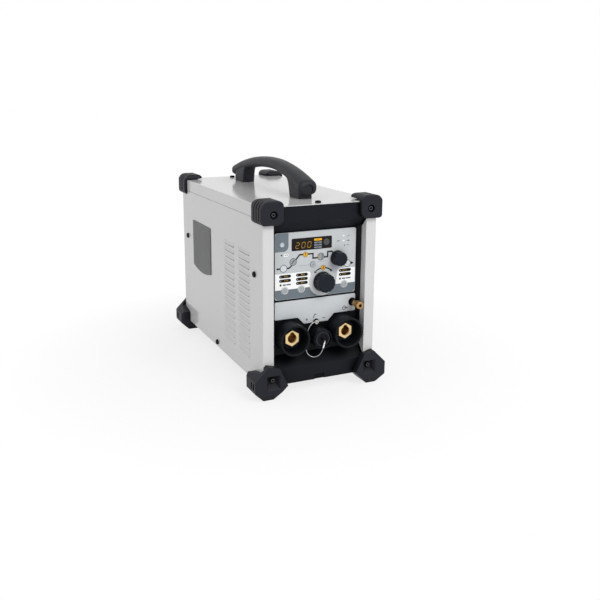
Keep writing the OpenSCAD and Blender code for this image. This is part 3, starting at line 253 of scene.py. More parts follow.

# Painted shade where a finish darkens its hollows: between the sockets and under the brow of the fascia, in the
# corner pieces, on the panel and the plate
FINISH = {
    # Finishes with a share of edge get a painted highlight on their edges
    "casing_paint": surface("casing_paint", "#d4d4d4", 0.13, grain=0.02, grain_scale=700.0, vary=0.012,
                            patch=5.0, rough_vary=0.03, round_edges=0.0006),
    "fascia_plastic": surface("fascia_plastic", "#171a20", 0.42, grain=0.2, grain_scale=2600.0, vary=0.08,
                              edge=0.4, highlight_gain=2.5, round_edges=0.0009, spec=0.1, hollow_shade=0.9, shade_reach=0.05,
                              # Painted shade: the floor of the bottom notch near black
                              zones=[("#050608", *NOTCH, 0.0128, NOTCH_MOUTH)]),
    "corner_plastic": surface("corner_plastic", "#24252c", 0.46, grain=0.3, grain_scale=2000.0, vary=0.1,
                              edge=0.3, round_edges=0.0009, spec=0.14, hollow_shade=0.8),
    "handle_plastic": surface("handle_plastic", "#26272d", 0.44, grain=0.3, grain_scale=2000.0, vary=0.1,
                              round_edges=0.0012, spec=0.2),
    "black_screws": surface("black_screws", "#070709", 0.34, grain=0.1, vary=0.15, edge=0.6, highlight_gain=9.0,
                            round_edges=0.0004, spec=0.08),
    "badge_paint": surface("badge_paint", "#646566", 0.42, grain=0.08, vary=0.05, patch=18.0,
                           round_edges=0.0004, spec=0.2),
    "panel_overlay": surface("panel_overlay", "#c4c8ca", 0.42, grain=0.12, grain_scale=3000.0, vary=0.03,
                             patch=24.0, round_edges=0.0005, spec=0.2, hollow_shade=PANEL_HOLLOW_SHADE),
    "plate_overlay": surface("plate_overlay", "#cdd1d4", 0.42, grain=0.12, grain_scale=3000.0, vary=0.03,
                             patch=24.0, round_edges=0.0005, spec=0.2, hollow_shade=PANEL_HOLLOW_SHADE),
    "window_plastic": surface("window_plastic", "#191513", 0.14, vary=0.05, rough_vary=0.03, spec=0.15),
    "knob_plastic": surface("knob_plastic", "#131822", 0.34, grain=0.18, grain_scale=3200.0, vary=0.08,
                            edge=0.6, highlight_gain=5.0, round_edges=0.0009, spec=0.17),
    "button_plastic": surface("button_plastic", "#c2c5c7", 0.3, grain=0.05, vary=0.03, round_edges=0.0003,
                              spec=0.3),
    "board_laminate": surface("board_laminate", "#2f5d43", 0.4, grain=0.1, vary=0.08),
    "encoder_plastic": surface("encoder_plastic", "#33343a", 0.5, grain=0.2, vary=0.08),
    "socket_plastic": surface("socket_plastic", "#14171b", 0.4, grain=0.16, grain_scale=2600.0, vary=0.08,
                              edge=0.7, highlight_gain=6.0, round_edges=0.0008, spec=0.08),
    "brass": surface("brass", "#e6c88f", 0.3, grain=0.05, vary=0.08, metal=1.0, rough_vary=0.08,
                     round_edges=0.0004),
    "copper": surface("copper", "#b5713d", 0.32, grain=0.06, vary=0.1, metal=1.0),
    "steel": surface("steel", "#b9bbbd", 0.3, grain=0.08, vary=0.06, metal=1.0, round_edges=0.0003),
    "hose_rubber": surface("hose_rubber", "#1d1f22", 0.6, grain=0.25, vary=0.1),
    "potting_resin": surface("potting_resin", "#2b2d31", 0.35, grain=0.05, vary=0.08),
    "ferrite": surface("ferrite", "#3b3c40", 0.6, grain=0.25, vary=0.1),
    "aluminium": surface("aluminium", "#b9bcbf", 0.34, grain=0.08, vary=0.06, metal=1.0),
    "module_plastic": surface("module_plastic", "#d8d4c8", 0.5, grain=0.1, vary=0.05),
    "capacitor_sleeve": surface("capacitor_sleeve", "#22305a", 0.3, vary=0.06, coat=0.2),
    "fan_plastic": surface("fan_plastic", "#1d1f23", 0.46, grain=0.2, vary=0.08, edge=0.2, round_edges=0.0005,
                           spec=0.15),
    "switch_plastic": surface("switch_plastic", "#17181b", 0.4, grain=0.15, vary=0.08, edge=0.25,
                              round_edges=0.0005, spec=0.25),
}
DARK_BUTTON = surface("dark_button", "#4b4d50", 0.34, grain=0.06, vary=0.05, round_edges=0.0003, spec=0.25)
CYCLE_LENS = surface("cycle_lens", "#98a0a5", 0.26, vary=0.05, round_edges=0.0003, spec=0.3,
                     zones=[("#aab1b6", *CYCLE_LENS_AT, 0.0045, ALL_DEPTHS),
                            ("#8d959b", *CYCLE_LENS_AT, 0.002, ALL_DEPTHS)])
STANDBY_LENS = surface("standby_lens", "#8f99a3", 0.26, vary=0.05, round_edges=0.0003, spec=0.3,
                       zones=[("#a9b1ba", *STANDBY_LENS_AT, 0.0045, ALL_DEPTHS),
                              ("#c8cdd4", *STANDBY_LENS_AT, 0.0028, ALL_DEPTHS)])
# Painted highlight: a lighter ring round the cap's face, and lighter edges
DARK_RUBBER = surface("dark_rubber", "#0e0f12", 0.45, grain=0.25, grain_scale=2600.0, vary=0.1, edge=0.8,
                      highlight_gain=12.0, round_edges=0.0008, spec=0.1,
                      zones=[("#43454f", *CAP, 0.0138, ALL_DEPTHS, False),
                             ("#15161c", *CAP, 0.0112, ALL_DEPTHS, False)])
# Painted shade in each socket's bore: dark brown round its mouth and keyway, and a duller, darker brass deeper
# in
SOCKET_BRASS = surface("socket_brass", "#edd19d", 0.3, grain=0.05, vary=0.08, metal=1.0, rough_vary=0.08,
                       round_edges=0.0005, zones=[("#6e4a1e", *SOCKET, 0.0081, ALL_DEPTHS),
                                                  ("#6e4a1e", *KEYWAY, 0.0042, ALL_DEPTHS),
                                                  ("#b89c70", *SOCKET, 0.011, SOCKET_MOUTH)])
# Painted shade: darker in the grooves, dark brown round the bore's mouth and a duller brass inside the bore;
# the sleeve behind is black
OUTLET_BRASS = surface("outlet_brass", "#b4905f", 0.3, grain=0.05, vary=0.1, metal=1.0, rough_vary=0.08,
                       round_edges=0.0002, hollow_shade=0.9, shade_reach=0.002,
                       zones=[("#0b0b0c", *OUTLET, 0.02, SLEEVE_MOUTH),
                              ("#6b4520", *OUTLET, 0.0031, ALL_DEPTHS),
                              ("#8a6a3c", *OUTLET, 0.0031, OUTLET_MOUTH)])
BRIGHT_STEEL = surface("bright_steel", "#d8d6d2", 0.26, grain=0.06, vary=0.08, metal=1.0)
# A painted glint: a lighter ring round the dark drive of each head
CORNER_SCREW = surface("corner_screw", "#070709", 0.34, grain=0.1, vary=0.15, edge=0.6, highlight_gain=9.0,
                       round_edges=0.0004, spec=0.08,
                       zones=[(tone, *place, radius, ALL_DEPTHS) for place in CORNER_SCREWS_AT
                              for tone, radius in (("#56575c", 0.0031), ("#050507", 0.0021))])


def marked_button(name, x, z):
    """A pale push button with a grey ring and a grey dot in its face."""
    return surface(name, "#c6c9cb", 0.3, grain=0.05, vary=0.03, round_edges=0.0003, spec=0.3,
                   zones=[(tone, x, z, radius, ALL_DEPTHS) for tone, radius in
                          (("#82898e", 0.0042), ("#b4b9bc", 0.0031), ("#777e83", 0.0012))])


# Nodes with a finish of their own, instead of their slot's
OWN_FINISH = {
    "corner_screws": CORNER_SCREW,
    "mode_button": marked_button("mode_face", 0.0574, 0.1768),
    "trigger_button": marked_button("trigger_face", 0.0269, 0.1765),
    "process_button": marked_button("process_face", 0.0535, 0.1767),
    "cycle_button": CYCLE_LENS,
    "display_button": DARK_BUTTON,
    "standby_button": STANDBY_LENS,
    "dust_cap": DARK_RUBBER,
    "left_socket_contact": SOCKET_BRASS,
    "right_socket_contact": SOCKET_BRASS,
}

for part in frame["record"]["subparts"]:
    obj = nodes[part["node"]]
    obj.data.materials.clear()
    obj.data.materials.append(OWN_FINISH.get(part["node"], FINISH[part["material_slot"]]))

# Lanyard of the dust cap, and gas nipple


def spline(points, steps):
    """Points of a smooth curve through the given ones."""
    out = []
    last = len(points) - 1
    for i in range(last):
        a, b = points[max(i - 1, 0)], points[i]
        c, d = points[i + 1], points[min(i + 2, last)]
        for k in range(steps):
            t = k / steps
            out.append(0.5 * (2 * b + (c - a) * t + (2 * a - 5 * b + 4 * c - d) * t ** 2
                              + (3 * b - a - 3 * c + d) * t ** 3))
    out.append(points[last])
    return out


def new_object(name, bm, material, body):
    """A piece of the object made from a bmesh; it rides on a body, unless that is None."""
    mesh = bpy.data.meshes.new(name)
    bmesh.ops.recalc_face_normals(bm, faces=bm.faces)
    bm.to_mesh(mesh)
    bm.free()
    obj = bpy.data.objects.new(name, mesh)
    bpy.context.collection.objects.link(obj)
    mesh.materials.append(material)
    if body:
        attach(obj, body)
    return obj


def wire_rope(bm, path, radius, sides, lobes, depth, twist):
    """A closed tube along the path; its lobes are the strands of the rope, which turn by twist per metre."""
    rings = []
    side = Vector((1, 0, 0))
    run = 0.0
    for i, p in enumerate(path):
        ahead = path[min(i + 1, len(path) - 1)] - path[max(i - 1, 0)]
        ahead.normalize()
        side = (side - side.dot(ahead) * ahead).normalized()
        other = ahead.cross(side)
        run += (p - path[i - 1]).length if i else 0.0
        ring = []
        for k in range(sides):
            a = 2 * math.pi * k / sides
            r = radius - depth * (0.5 - 0.5 * math.cos(lobes * (a - twist * run)))
            ring.append(bm.verts.new(p + r * (math.cos(a) * side + math.sin(a) * other)))
        rings.append(ring)
    for low, high in zip(rings, rings[1:]):
        for k in range(sides):
            j = (k + 1) % sides
            bm.faces.new((low[k], low[j], high[j], high[k])).smooth = True
    bm.faces.new(rings[0][::-1])
    bm.faces.new(rings[-1])


def turned(bm, profile, place, axis, sides=24, hollow=False):
    """A turned solid: its profile gives (radius, distance along the axis) pairs.

    They go from one end to the other, or right round the section of a hollow form.
    """
    axis = axis.normalized()
    side = axis.orthogonal().normalized()
    other = axis.cross(side)
    angles = [2 * math.pi * k / sides for k in range(sides)]
    rings = [[bm.verts.new(place + axis * d + r * (math.cos(a) * side + math.sin(a) * other)) for a in angles]
             for r, d in profile]
    for low, high in zip(rings, rings[1:] + rings[:1] if hollow else rings[1:]):
        for k in range(sides):
            j = (k + 1) % sides
            bm.faces.new((low[k], low[j], high[j], high[k]))
    if not hollow:
        bm.faces.new(rings[0][::-1])
        bm.faces.new(rings[-1])


def crimp_sleeve(low, high):
    """A crimped sleeve between two points, squeezed in at three places."""
    bm = bmesh.new()
    length = (high - low).length
    end, outer, squeezed = 0.8 * MM, 1.85 * MM, 0.78 * 1.85 * MM
    profile = [(end, 0), (outer, 0.3 * MM)]
    for k in range(3):
        d = (0.2 + 0.25 * k) * length
        profile += [(outer, d), (squeezed, d + 0.6 * MM), (squeezed, d + 1.5 * MM), (outer, d + 2.1 * MM)]
    profile += [(outer, length - 0.3 * MM), (end, length)]
    turned(bm, profile, low, high - low)
    return new_object("lanyard_sleeve", bm, BRIGHT_STEEL, "dust_cap")


def ring_terminal(place):
    """The flat ring under the lanyard's screw."""
    bm = bmesh.new()
    inner, outer, thick = 2.0 * MM, 3.6 * MM, 0.9 * MM
    turned(bm, [(inner, 0), (outer, 0), (outer, thick), (inner, thick)], place, FORWARD, hollow=True)
    return new_object("lanyard_terminal", bm, BRIGHT_STEEL, "casing")


def add_lanyard():
    """A stranded rope from its ring terminal to the crimp sleeve at the cap's post."""
    start = Vector((1.2, -199.7, 115.8))
    end = Vector((4.0, -222.9, 91.0))
    route = [start, start + Vector((0, -3, 0))]
    route += [Vector(p) for p in ((-3, -203.6, 117.6), (-9.6, -204, 115.6), (-15.2, -205, 109.8),
                                  (-18.4, -206, 104), (-20.8, -206.5, 96), (-22, -207, 86), (-22.4, -208, 76),
                                  (-21.4, -210, 68), (-17.6, -212.5, 63), (-11.3, -216, 60.8),
                                  (-4.6, -219.5, 63.6), (0, -222.4, 71), (2, -224.6, 80), (3.4, -226, 87))]
    route += [end + Vector((0, -3.4, -1.2)), end]
    path = [p * MM for p in spline(route, 12)]
    bm = bmesh.new()
    wire_rope(bm, path, 0.75 * MM, 16, lobes=6, depth=0.16 * MM, twist=900.0)
    rope = new_object("lanyard_rope", bm, FINISH["steel"], None)
    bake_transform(rope)
    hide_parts("cap_lanyard")
    crimp = crimp_sleeve(Vector((1.5, -224.2, 77.6)) * MM, Vector((3.7, -225.9, 89.6)) * MM)
    ring = ring_terminal(start * MM)


def add_outlet():
    """The gas nipple as it is turned: a chamfered end, grooves for the hose, a stem, a flange and a barb."""
    profile = [(2.2, 0), (5.4, 0), (6.4, 1)]
    for k in range(3):
        groove = 3 + 2.9 * k
        profile += [(6.4, groove), (5.5, groove + 0.3), (5.5, groove + 1.1), (6.4, groove + 1.4)]
    profile += [(6.4, 12.6), (5, 14), (5, 33.5), (9.7, 33.5), (9.7, 38.5), (3.4, 38.5), (3.4, 45.9), (4, 46.5),
                (3, 52.5), (2.2, 52.5)]
    bm = bmesh.new()
    turned(bm, [(r * MM, d * MM) for r, d in profile], Vector((70.6, -225.5, 143)) * MM, -FORWARD, sides=48,
           hollow=True)
    nipple = new_object("gas_nipple", bm, OUTLET_BRASS, "casing")
    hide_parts("gas_outlet")


add_lanyard()
add_outlet()

# Printing on the panel, the window and the plate, in millimetres

UP = 20.0  # height of the base above the floor
PANEL_Y, WINDOW_Y, PLATE_Y = -197.5, -197.7, -197.0  # their front faces
LIFT = 0.03  # thickness of a layer of ink


def at(x, h):
    """A place across, and up from the base."""
    return (x, h + UP)


class Print:
    """Flat shapes of one colour, given across and up, and laid on a plane that faces forward."""

    def __init__(self):
        self.loops = []
        self.rings = []

    def shape(self, points):
        """A closed outline, without points that repeat the one before."""
        self.loops.append([p for p, q in zip(points, points[-1:] + points[:-1]) if math.dist(p, q) > 1e-6])

    def disc(self, x, z, r, n=40):
        self.shape([(x + r * math.cos(2 * math.pi * k / n), z + r * math.sin(2 * math.pi * k / n))
                    for k in range(n)])

    def ring(self, x, z, r0, r1):
        self.rings.append((x, z, r0, r1))

    def box(self, x0, z0, x1, z1, r=0.0, n=6):
        if r <= 0:
            self.shape([(x0, z0), (x1, z0), (x1, z1), (x0, z1)])
            return
        r = min(r, (x1 - x0) / 2, (z1 - z0) / 2)
        points = []
        corners = ((x1 - r, z0 + r, -90), (x1 - r, z1 - r, 0), (x0 + r, z1 - r, 90), (x0 + r, z0 + r, 180))
        for cx, cz, a0 in corners:
            for k in range(n + 1):
                a = math.radians(a0 + 90 * k / n)
                points.append((cx + r * math.cos(a), cz + r * math.sin(a)))
        self.shape(points)

    def stroke(self, points, width):
        """A line of even width with mitred corners, as one outline."""
        sides = []
        for (x0, z0), (x1, z1) in zip(points, points[1:]):
            length = math.hypot(x1 - x0, z1 - z0)
            sides.append(((z0 - z1) / length, (x1 - x0) / length))
        left, right = [], []
        for (x, z), (ax, az), (bx, bz) in zip(points, sides[:1] + sides, sides + sides[-1:]):
            k = width / 2 / (1 + ax * bx + az * bz)
            left.append((x + (ax + bx) * k, z + (az + bz) * k))
            right.append((x - (ax + bx) * k, z - (az + bz) * k))
        self.shape(left + right[::-1])

    def build(self, name, ground, level, material, slot):
        """Thin closed solids, from just under the ground's face to the level-th layer above it."""
        bm = bmesh.new()
        for loop in self.loops:
            area = sum(a[0] * b[1] - b[0] * a[1] for a, b in zip(loop, loop[1:] + loop[:1]))
            loop = loop if area > 0 else loop[::-1]
            front, back = [[bm.verts.new((x * MM, y * MM, z * MM)) for x, z in loop]
                           for y in (ground - level * LIFT, ground + LIFT)]
            bm.faces.new(front)
            bm.faces.new(back[::-1])
            for k in range(len(loop)):
                j = (k + 1) % len(loop)
                bm.faces.new((front[k], back[k], back[j], front[j]))
        depth = (level + 1) * LIFT * MM
        for x, z, r0, r1 in self.rings:
            inner, outer = r0 * MM, r1 * MM
            turned(bm, [(inner, 0), (outer, 0), (outer, depth), (inner, depth)],
                   Vector((x, ground + LIFT, z)) * MM, FORWARD, sides=48, hollow=True)
        new_object(name, bm, material, "casing")


INK = {
    "white": plain_print("ink_white", "#fafbfb"),
    "pale": plain_print("ink_pale", "#d6d9da"),
    "slate": plain_print("ink_slate", "#717b83"),
    "black": plain_print("ink_black", "#17181a"),
    "yellow": plain_print("ink_yellow", "#e8ac28"),
    "grey": plain_print("ink_grey", "#8d9498"),
    "mid": plain_print("ink_mid", "#9ba1a5"),
    "rim": plain_print("ink_rim", "#484c50"),
    "ochre": plain_print("ink_ochre", "#bd9436"),
    "amber_lit": plain_print("amber_lit", "#a88432", glow=0.2),
    "yellow_lit": plain_print("yellow_lit", "#e6aa22", glow=0.2),
    "bar_grey": plain_print("bar_grey", "#8a929a"),
    "dim": plain_print("ink_dim", "#2c2826"),
}


def panel_grounds():
    """The slate, white and pale grounds of the panel, over which the rest is printed."""
    slate = Print()
    slate.shape([at(-74.6, 145), at(-71, 141.4), at(71, 141.4), at(74.6, 145), at(74.6, 158), at(38, 158),
                 at(34, 153), at(27, 146.5), at(18, 143), at(6, 143), at(-3, 146), at(-9, 152), at(-12, 158),
                 at(-74.6, 158)])
    points = [at(-74.6, 222)]
    for k in range(9):
        a = math.radians(-90 + 90 * k / 8)
        points.append(at(-59.6 + 9 * math.cos(a), 231 + 9 * math.sin(a)))
    points += [at(-50.6, 252.6), at(-71, 252.6), at(-73.5, 251.5), at(-74.6, 249)]
    slate.shape(points)
    slate.build("panel_slate", PANEL_Y, 1, INK["slate"], "panel_overlay")
    white = Print()
    white.shape([at(-74.6, 158), at(-12, 158), at(-10.2, 163), at(-9.5, 170), at(-9.8, 182), at(-12, 185.2),
                 at(-74.6, 185.2)])
    white.shape([at(38, 158), at(74.6, 158), at(74.6, 184.6), at(44, 184.6), at(40.4, 181), at(39.2, 172)])
    white.box(-59, 213.8 + UP, -50.6, 218.2 + UP, 1.2)
    white.build("panel_white", PANEL_Y, 1, INK["white"], "panel_overlay")
    pale = Print()
    pale.ring(12, 165.4 + UP, 17.5, 24.5)
    pale.build("panel_ring", PANEL_Y, 2, INK["pale"], "panel_overlay")


def weld_curve():
    """The welding cycle drawn as a line of ramps and steps, with a light ring at each setting."""
    black = Print()
    curve = [(-70.5, 194), (-49.8, 193.7), (-46.6, 195.9), (-30.7, 214.6), (-5.9, 214.6), (-5.9, 206.8),
             (21.4, 207), (21.6, 215.6), (29, 215.6), (33, 212)]
    black.stroke([at(*p) for p in curve], 2.4)
    black.shape([at(-72.6, 194), at(-69.4, 196.2), at(-69.4, 191.8)])
    black.stroke([at(52.5, 197.5), at(58, 192.5), at(66, 192.2)], 2.0)
    black.shape([at(71.5, 192.2), at(66, 195), at(66, 189.4)])
    arc = [at(13.6 + 21.5 * math.cos(math.radians(a)), 167.2 + 21.5 * math.sin(math.radians(a)))
           for a in range(49, 132, 4)]
    black.stroke(arc, 2.1)
    for a, turn in ((49, -1), (131, 1)):
        r = math.radians(a)
        c = (13.6 + 21.5 * math.cos(r), 167.2 + 21.5 * math.sin(r))
        t = (-math.sin(r) * turn, math.cos(r) * turn)
        q = (math.cos(r), math.sin(r))
        black.shape([at(c[0] + 4 * t[0], c[1] + 4 * t[1]), at(c[0] + 2.6 * q[0], c[1] + 2.6 * q[1]),
                     at(c[0] - 2.6 * q[0], c[1] - 2.6 * q[1])])
    black.disc(-62.8, 216.4 + UP, 1.4, 20)
    black.build("cycle_line", PANEL_Y, 3, INK["black"], "panel_overlay")
    rim, light, mid, mark, dark = Print(), Print(), Print(), Print(), Print()
    for x, h in ((-59.4, 193.9), (-42.2, 203.6), (8.7, 208.2), (59.3, 192.2)):
        rim.disc(x, h + UP, 6.4)
    for x, h in ((-59.4, 193.9), (59.3, 192.2)):
        light.disc(x, h + UP, 5.5)
    for x, h in ((-42.2, 203.6), (8.7, 208.2)):
        mid.disc(x, h + UP, 5.5)
    dark.stroke([at(-45.2, 200.8), at(-39.4, 206.8)], 1.3)
    dark.stroke([at(10.6, 204.2), at(11.6, 212.0)], 1.0)
    mark.stroke([at(5.9, 205.4), at(5.9, 211.2)], 1.6)
    rim.build("cycle_rims", PANEL_Y, 4, INK["rim"], "panel_overlay")
    light.build("cycle_faces", PANEL_Y, 5, INK["pale"], "panel_overlay")
    mid.build("cycle_mid_faces", PANEL_Y, 5, INK["mid"], "panel_overlay")
    dark.build("cycle_marks", PANEL_Y, 6, INK["dim"], "panel_overlay")
    mark.build("cycle_ochre", PANEL_Y, 6, INK["ochre"], "panel_overlay")
    yellow, edge = Print(), Print()
    for x, h in ((-19.8, 214.2), (13.4, 188.9)):
        edge.disc(x, h + UP, 4.5)
        yellow.disc(x, h + UP, 3.9)
    edge.build("cycle_yellow_rims", PANEL_Y, 4, INK["rim"], "panel_overlay")
    yellow.build("cycle_yellow", PANEL_Y, 5, INK["yellow"], "panel_overlay")
    number = Print()
    number.stroke([at(-20.5, 215.3), at(-19.6, 216.2), at(-19.6, 212.2)], 0.8)
    number.stroke([at(12.6, 190.7), at(14.1, 190.7), at(14.1, 189.1), at(12.7, 189.1), at(12.7, 187.1),
                   at(14.3, 187.1)], 0.7)
    number.build("cycle_numbers", PANEL_Y, 6, INK["black"], "panel_overlay")


def lamp_bars():
    """Lamp bars: a black bar with a lamp at its left and a mark in its middle."""
    black, lamp, ochre, grey = Print(), Print(), Print(), Print()
    rows = [(-67.3, -45.9, 180.4), (-67.3, -45.9, 173.3), (-36.8, -15.2, 180.6), (-36.8, -15.2, 173.5),
            (-36.8, -15.2, 166.6), (43.4, 66.6, 180.8), (43.4, 66.6, 173.8)]
    for k, (x0, x1, h) in enumerate(rows):
        black.box(x0, h + UP - 2.6, x1, h + UP + 2.6, 2.6)
        lamp.disc(x0 + 2.9, h + UP, 1.0, 24)
        m = x0 + (9.2 if x0 < 0 else 7.2)
        ochre.box(m, h + UP - 0.8, m + 1.1 + 0.4 * (k % 3), h + UP + 0.8, 0.3)
        ochre.box(m + 2.6 + 0.4 * (k % 2), h + UP - 0.8, m + 4.0, h + UP + 0.8, 0.3)
        ochre.box(m + 5.2, h + UP - 0.7, m + 6.4 + 0.5 * (k % 2), h + UP + 0.3, 0.3)
    for x, h, w in ((-66.3, 166.2, 20.0), (44.2, 166.4, 21.6)):
        grey.disc(x + 1.6, h + UP, 1.9, 24)
        grey.box(x + 5.4, h + UP - 1.1, x + 0.55 * w, h + UP + 1.1, 0.5)
        grey.box(x + 0.6 * w, h + UP - 1.0, x + w, h + UP + 1.0, 0.5)
    black.build("lamp_bars", PANEL_Y, 3, INK["black"], "panel_overlay")
    lamp.build("lamp_lenses", PANEL_Y, 4, INK["mid"], "panel_overlay")
    ochre.build("lamp_marks", PANEL_Y, 4, INK["ochre"], "panel_overlay")
    grey.build("panel_marks", PANEL_Y, 3, INK["rim"], "panel_overlay")


# The ends of a digit's seven bars, across and up, and the bars that are lit
BARS = {"a": ((0, 1), (1, 1)), "b": ((1, 1), (1, 0.5)), "c": ((1, 0.5), (1, 0)), "d": ((0, 0), (1, 0)),
        "e": ((0, 0), (0, 0.5)), "f": ((0, 0.5), (0, 1)), "g": ((0, 0.5), (1, 0.5))}
LIT_BARS = {"2": "abged", "0": "abcdef"}


def display():
    """A lit number and its unit bars on the smoked window."""
    lit = Print()
    low, wide, high, lean, gap, thick = 225.8, 5.8, 9.4, 0.14, 0.5, 0.85
    for k, digit in enumerate("200"):
        left = -37.9 + 10.7 * k
        for bar in LIT_BARS[digit]:
            (x0, z0), (x1, z1) = [at(left + u * wide + lean * v * high, low + v * high) for u, v in BARS[bar]]
            length = math.hypot(x1 - x0, z1 - z0)
            dx, dz = (x1 - x0) / length * gap, (z1 - z0) / length * gap
            lit.stroke([(x0 + dx, z0 + dz), (x1 - dx, z1 - dz)], thick)
    lit.build("display_digits", WINDOW_Y, 1, INK["amber_lit"], "window_plastic")
    unit = Print()
    unit.box(-4.2, 236 + UP, 10.2, 239.6 + UP, 1.4)
    unit.build("display_bar", WINDOW_Y, 1, INK["yellow_lit"], "window_plastic")
    rest = Print()
    for h in (232.9, 228.8, 224.7):
        rest.box(-3.9, h + UP - 1.2, 10.2, h + UP + 1.2, 1.1)
    rest.build("display_bars", WINDOW_Y, 1, INK["bar_grey"], "window_plastic")
    dim = Print()
    for h in (237.8, 232.9, 228.8, 224.7):
        dim.box(0.4, h + UP - 0.5, 2.2, h + UP + 0.5, 0.3)
        dim.box(3.4, h + UP - 0.5, 5.6, h + UP + 0.5, 0.3)
    dim.build("display_units", WINDOW_Y, 2, INK["dim"], "window_plastic")


def panel_marks():
    """Rings round the buttons, and small generic symbols."""
    rim, grey, white = Print(), Print(), Print()
    for x, h, r in ((-57.4, 156.8, 6), (-26.9, 156.5, 6), (53.5, 156.7, 6), (-6.1, 196.4, 5.2)):
        rim.ring(x, h + UP, r + 0.3, r + 0.9)
    rim.build("button_rings", PANEL_Y, 3, INK["pale"], "panel_overlay")
    icons = Print()
    icons.box(39, 231.4 + UP, 43.6, 232.7 + UP, 0.3)
    icons.stroke([at(57.6, 238.4), at(60, 239.6), at(62.8, 240.2)], 0.6)
    icons.stroke([at(57.4, 231.7), at(61.2, 231.7)], 1.0)
    icons.shape([at(63.2, 231.7), at(60.2, 233), at(60.2, 230.4)])
    icons.shape([at(53.2, 226), at(54.2, 222.8), at(52.2, 222.8)])
    icons.stroke([at(57.6, 225.2), at(60, 223.8), at(62.6, 223.4)], 0.7)
    icons.box(-57.2, 215.2 + UP, -55.2, 216.8 + UP, 0.6)
    icons.box(-54, 215.2 + UP, -52, 217 + UP, 0.6)
    icons.build("panel_icons", PANEL_Y, 3, INK["rim"], "panel_overlay")
    for k in range(6):
        grey.box(-31.5 + 3.2 * k, 195.6 + UP, -29.7 + 3.2 * k, 196.4 + UP, 0.3)
        grey.box(3.4 + 2.8 * k, 199.6 + UP, 4.9 + 2.8 * k, 200.3 + UP, 0.3)
    for x, h in ((49.4, 239.4), (49.6, 231.2)):
        white.box(x, h + UP, x + 3.4, h + 2 + UP, 0.7)
    grey.build("faint_marks", PANEL_Y, 3, INK["grey"], "panel_overlay")
    white.build("lamp_windows", PANEL_Y, 3, INK["white"], "panel_overlay")


def plate_marks():
    """Generic symbols for the gas outlet and the sockets."""
    plate = Print()
    plate.ring(55.4, 113.6 + UP, 2.8, 3.8)
    plate.stroke([at(54, 113.6), at(60.4, 113.6)], 1.1)
    plate.shape([at(63.2, 113.6), at(60.2, 115.3), at(60.2, 111.9)])
    plate.stroke([at(-18.6, 101.4), at(-13.6, 101.4)], 1.1)
    plate.stroke([at(-16.1, 98.9), at(-16.1, 103.9)], 1.1)
    plate.stroke([at(13.6, 101), at(19, 101)], 1.1)
    plate.stroke([at(-4.4, 102.6), at(-0.6, 109.4), at(1.6, 108.2)], 1.4)
    plate.build("plate_marks", PLATE_Y, 1, INK["rim"], "plate_overlay")


panel_grounds()
weld_curve()
lamp_bars()
display()
panel_marks()
plate_marks()

# Light and floor

AMBIENT = 0.55
FLOOR_HALF = 6.0  # metres
FLOOR_DROP = 0.2 * MM  # below the feet
FLOOR_FADE = (0.2, 0.5)  # metres from the middle over which the floor goes to the background's white
NEAR_WHITE = 0.75  # share of that white close to the object, where its shadow shows


def area_light(name, place, look, side, energy):
    """A square white lamp that faces a point."""
    data = bpy.data.lights.new(name, "AREA")
    data.size = side
    data.energy = energy
    obj = bpy.data.objects.new(name, data)
    obj.location = place
    obj.rotation_euler = (Vector(look) - Vector(place)).to_track_quat("-Z", "Y").to_euler()
    bpy.context.collection.objects.link(obj)


def seen_rays(tree):
    """One for the rays that show the background: to the camera, mirrored or through something clear."""
    path = tree.nodes.new("ShaderNodeLightPath")
    total = path.outputs["Is Camera Ray"]
    for name in ("Is Glossy Ray", "Is Transmission Ray"):
        most = tree.nodes.new("ShaderNodeMath")
        most.operation = "MAXIMUM"
        tree.links.new(total, most.inputs[0])
        tree.links.new(path.outputs[name], most.inputs[1])
        total = most.outputs[0]
    return total


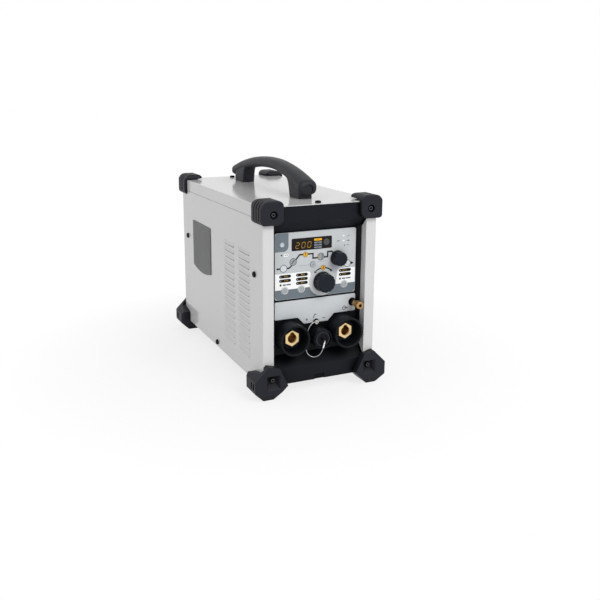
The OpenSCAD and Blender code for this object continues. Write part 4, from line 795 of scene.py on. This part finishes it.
def add_world():
    """Even light from all sides, in front of a white background."""
    world = bpy.data.worlds.new("studio")
    bpy.context.scene.world = world
    world.use_nodes = True
    tree = world.node_tree
    ground = tree.nodes["Background"]
    ground.inputs["Color"].default_value = (1, 1, 1, 1)
    ground.inputs["Strength"].default_value = AMBIENT
    seen = tree.nodes.new("ShaderNodeBackground")
    seen.inputs["Color"].default_value = (1, 1, 1, 1)
    seen.inputs["Strength"].default_value = 1.0
    mix = tree.nodes.new("ShaderNodeMixShader")
    tree.links.new(seen_rays(tree), mix.inputs["Fac"])
    tree.links.new(ground.outputs["Background"], mix.inputs[1])
    tree.links.new(seen.outputs["Background"], mix.inputs[2])
    tree.links.new(mix.outputs["Shader"], tree.nodes["World Output"].inputs["Surface"])


def add_floor():
    """A pale floor with a soft shadow, which goes over into the white background."""
    bm = bmesh.new()
    bmesh.ops.create_grid(bm, x_segments=2, y_segments=2, size=FLOOR_HALF)
    mesh = bpy.data.meshes.new("floor")
    bm.to_mesh(mesh)
    bm.free()
    floor = bpy.data.objects.new("floor", mesh)
    floor.location.z = -FLOOR_DROP
    bpy.context.collection.objects.link(floor)
    n = Nodes("floor")
    n.shader.inputs["Base Color"].default_value = (0.92, 0.92, 0.92, 1)
    n.shader.inputs["Roughness"].default_value = 0.7
    n.shader.inputs["Specular IOR Level"].default_value = 0.1
    white = n.add("ShaderNodeEmission", Color=(1, 1, 1, 1), Strength=1.0)
    away = n.add("ShaderNodeVectorMath", operation="LENGTH")
    n.join(n.add("ShaderNodeTexCoord"), "Object", away, 0)
    far = n.ranged(away.outputs["Value"], FLOOR_FADE, (NEAR_WHITE, 1.0))
    mix = n.add("ShaderNodeMixShader")
    n.tree.links.new(n.maths("MULTIPLY", far, seen_rays(n.tree)), mix.inputs["Fac"])
    n.join(n.shader, "BSDF", mix, 1)
    n.join(white, "Emission", mix, 2)
    n.join(mix, "Shader", n.tree.nodes["Material Output"], "Surface")
    mesh.materials.append(n.material)


add_world()
add_floor()
area_light("key", (0.45, -2.05, 1.7), (0, 0, 0.18), 1.2, 28.5)
area_light("fill", (-1.9, -0.6, 0.5), (0, 0, 0.12), 1.6, 4.5)
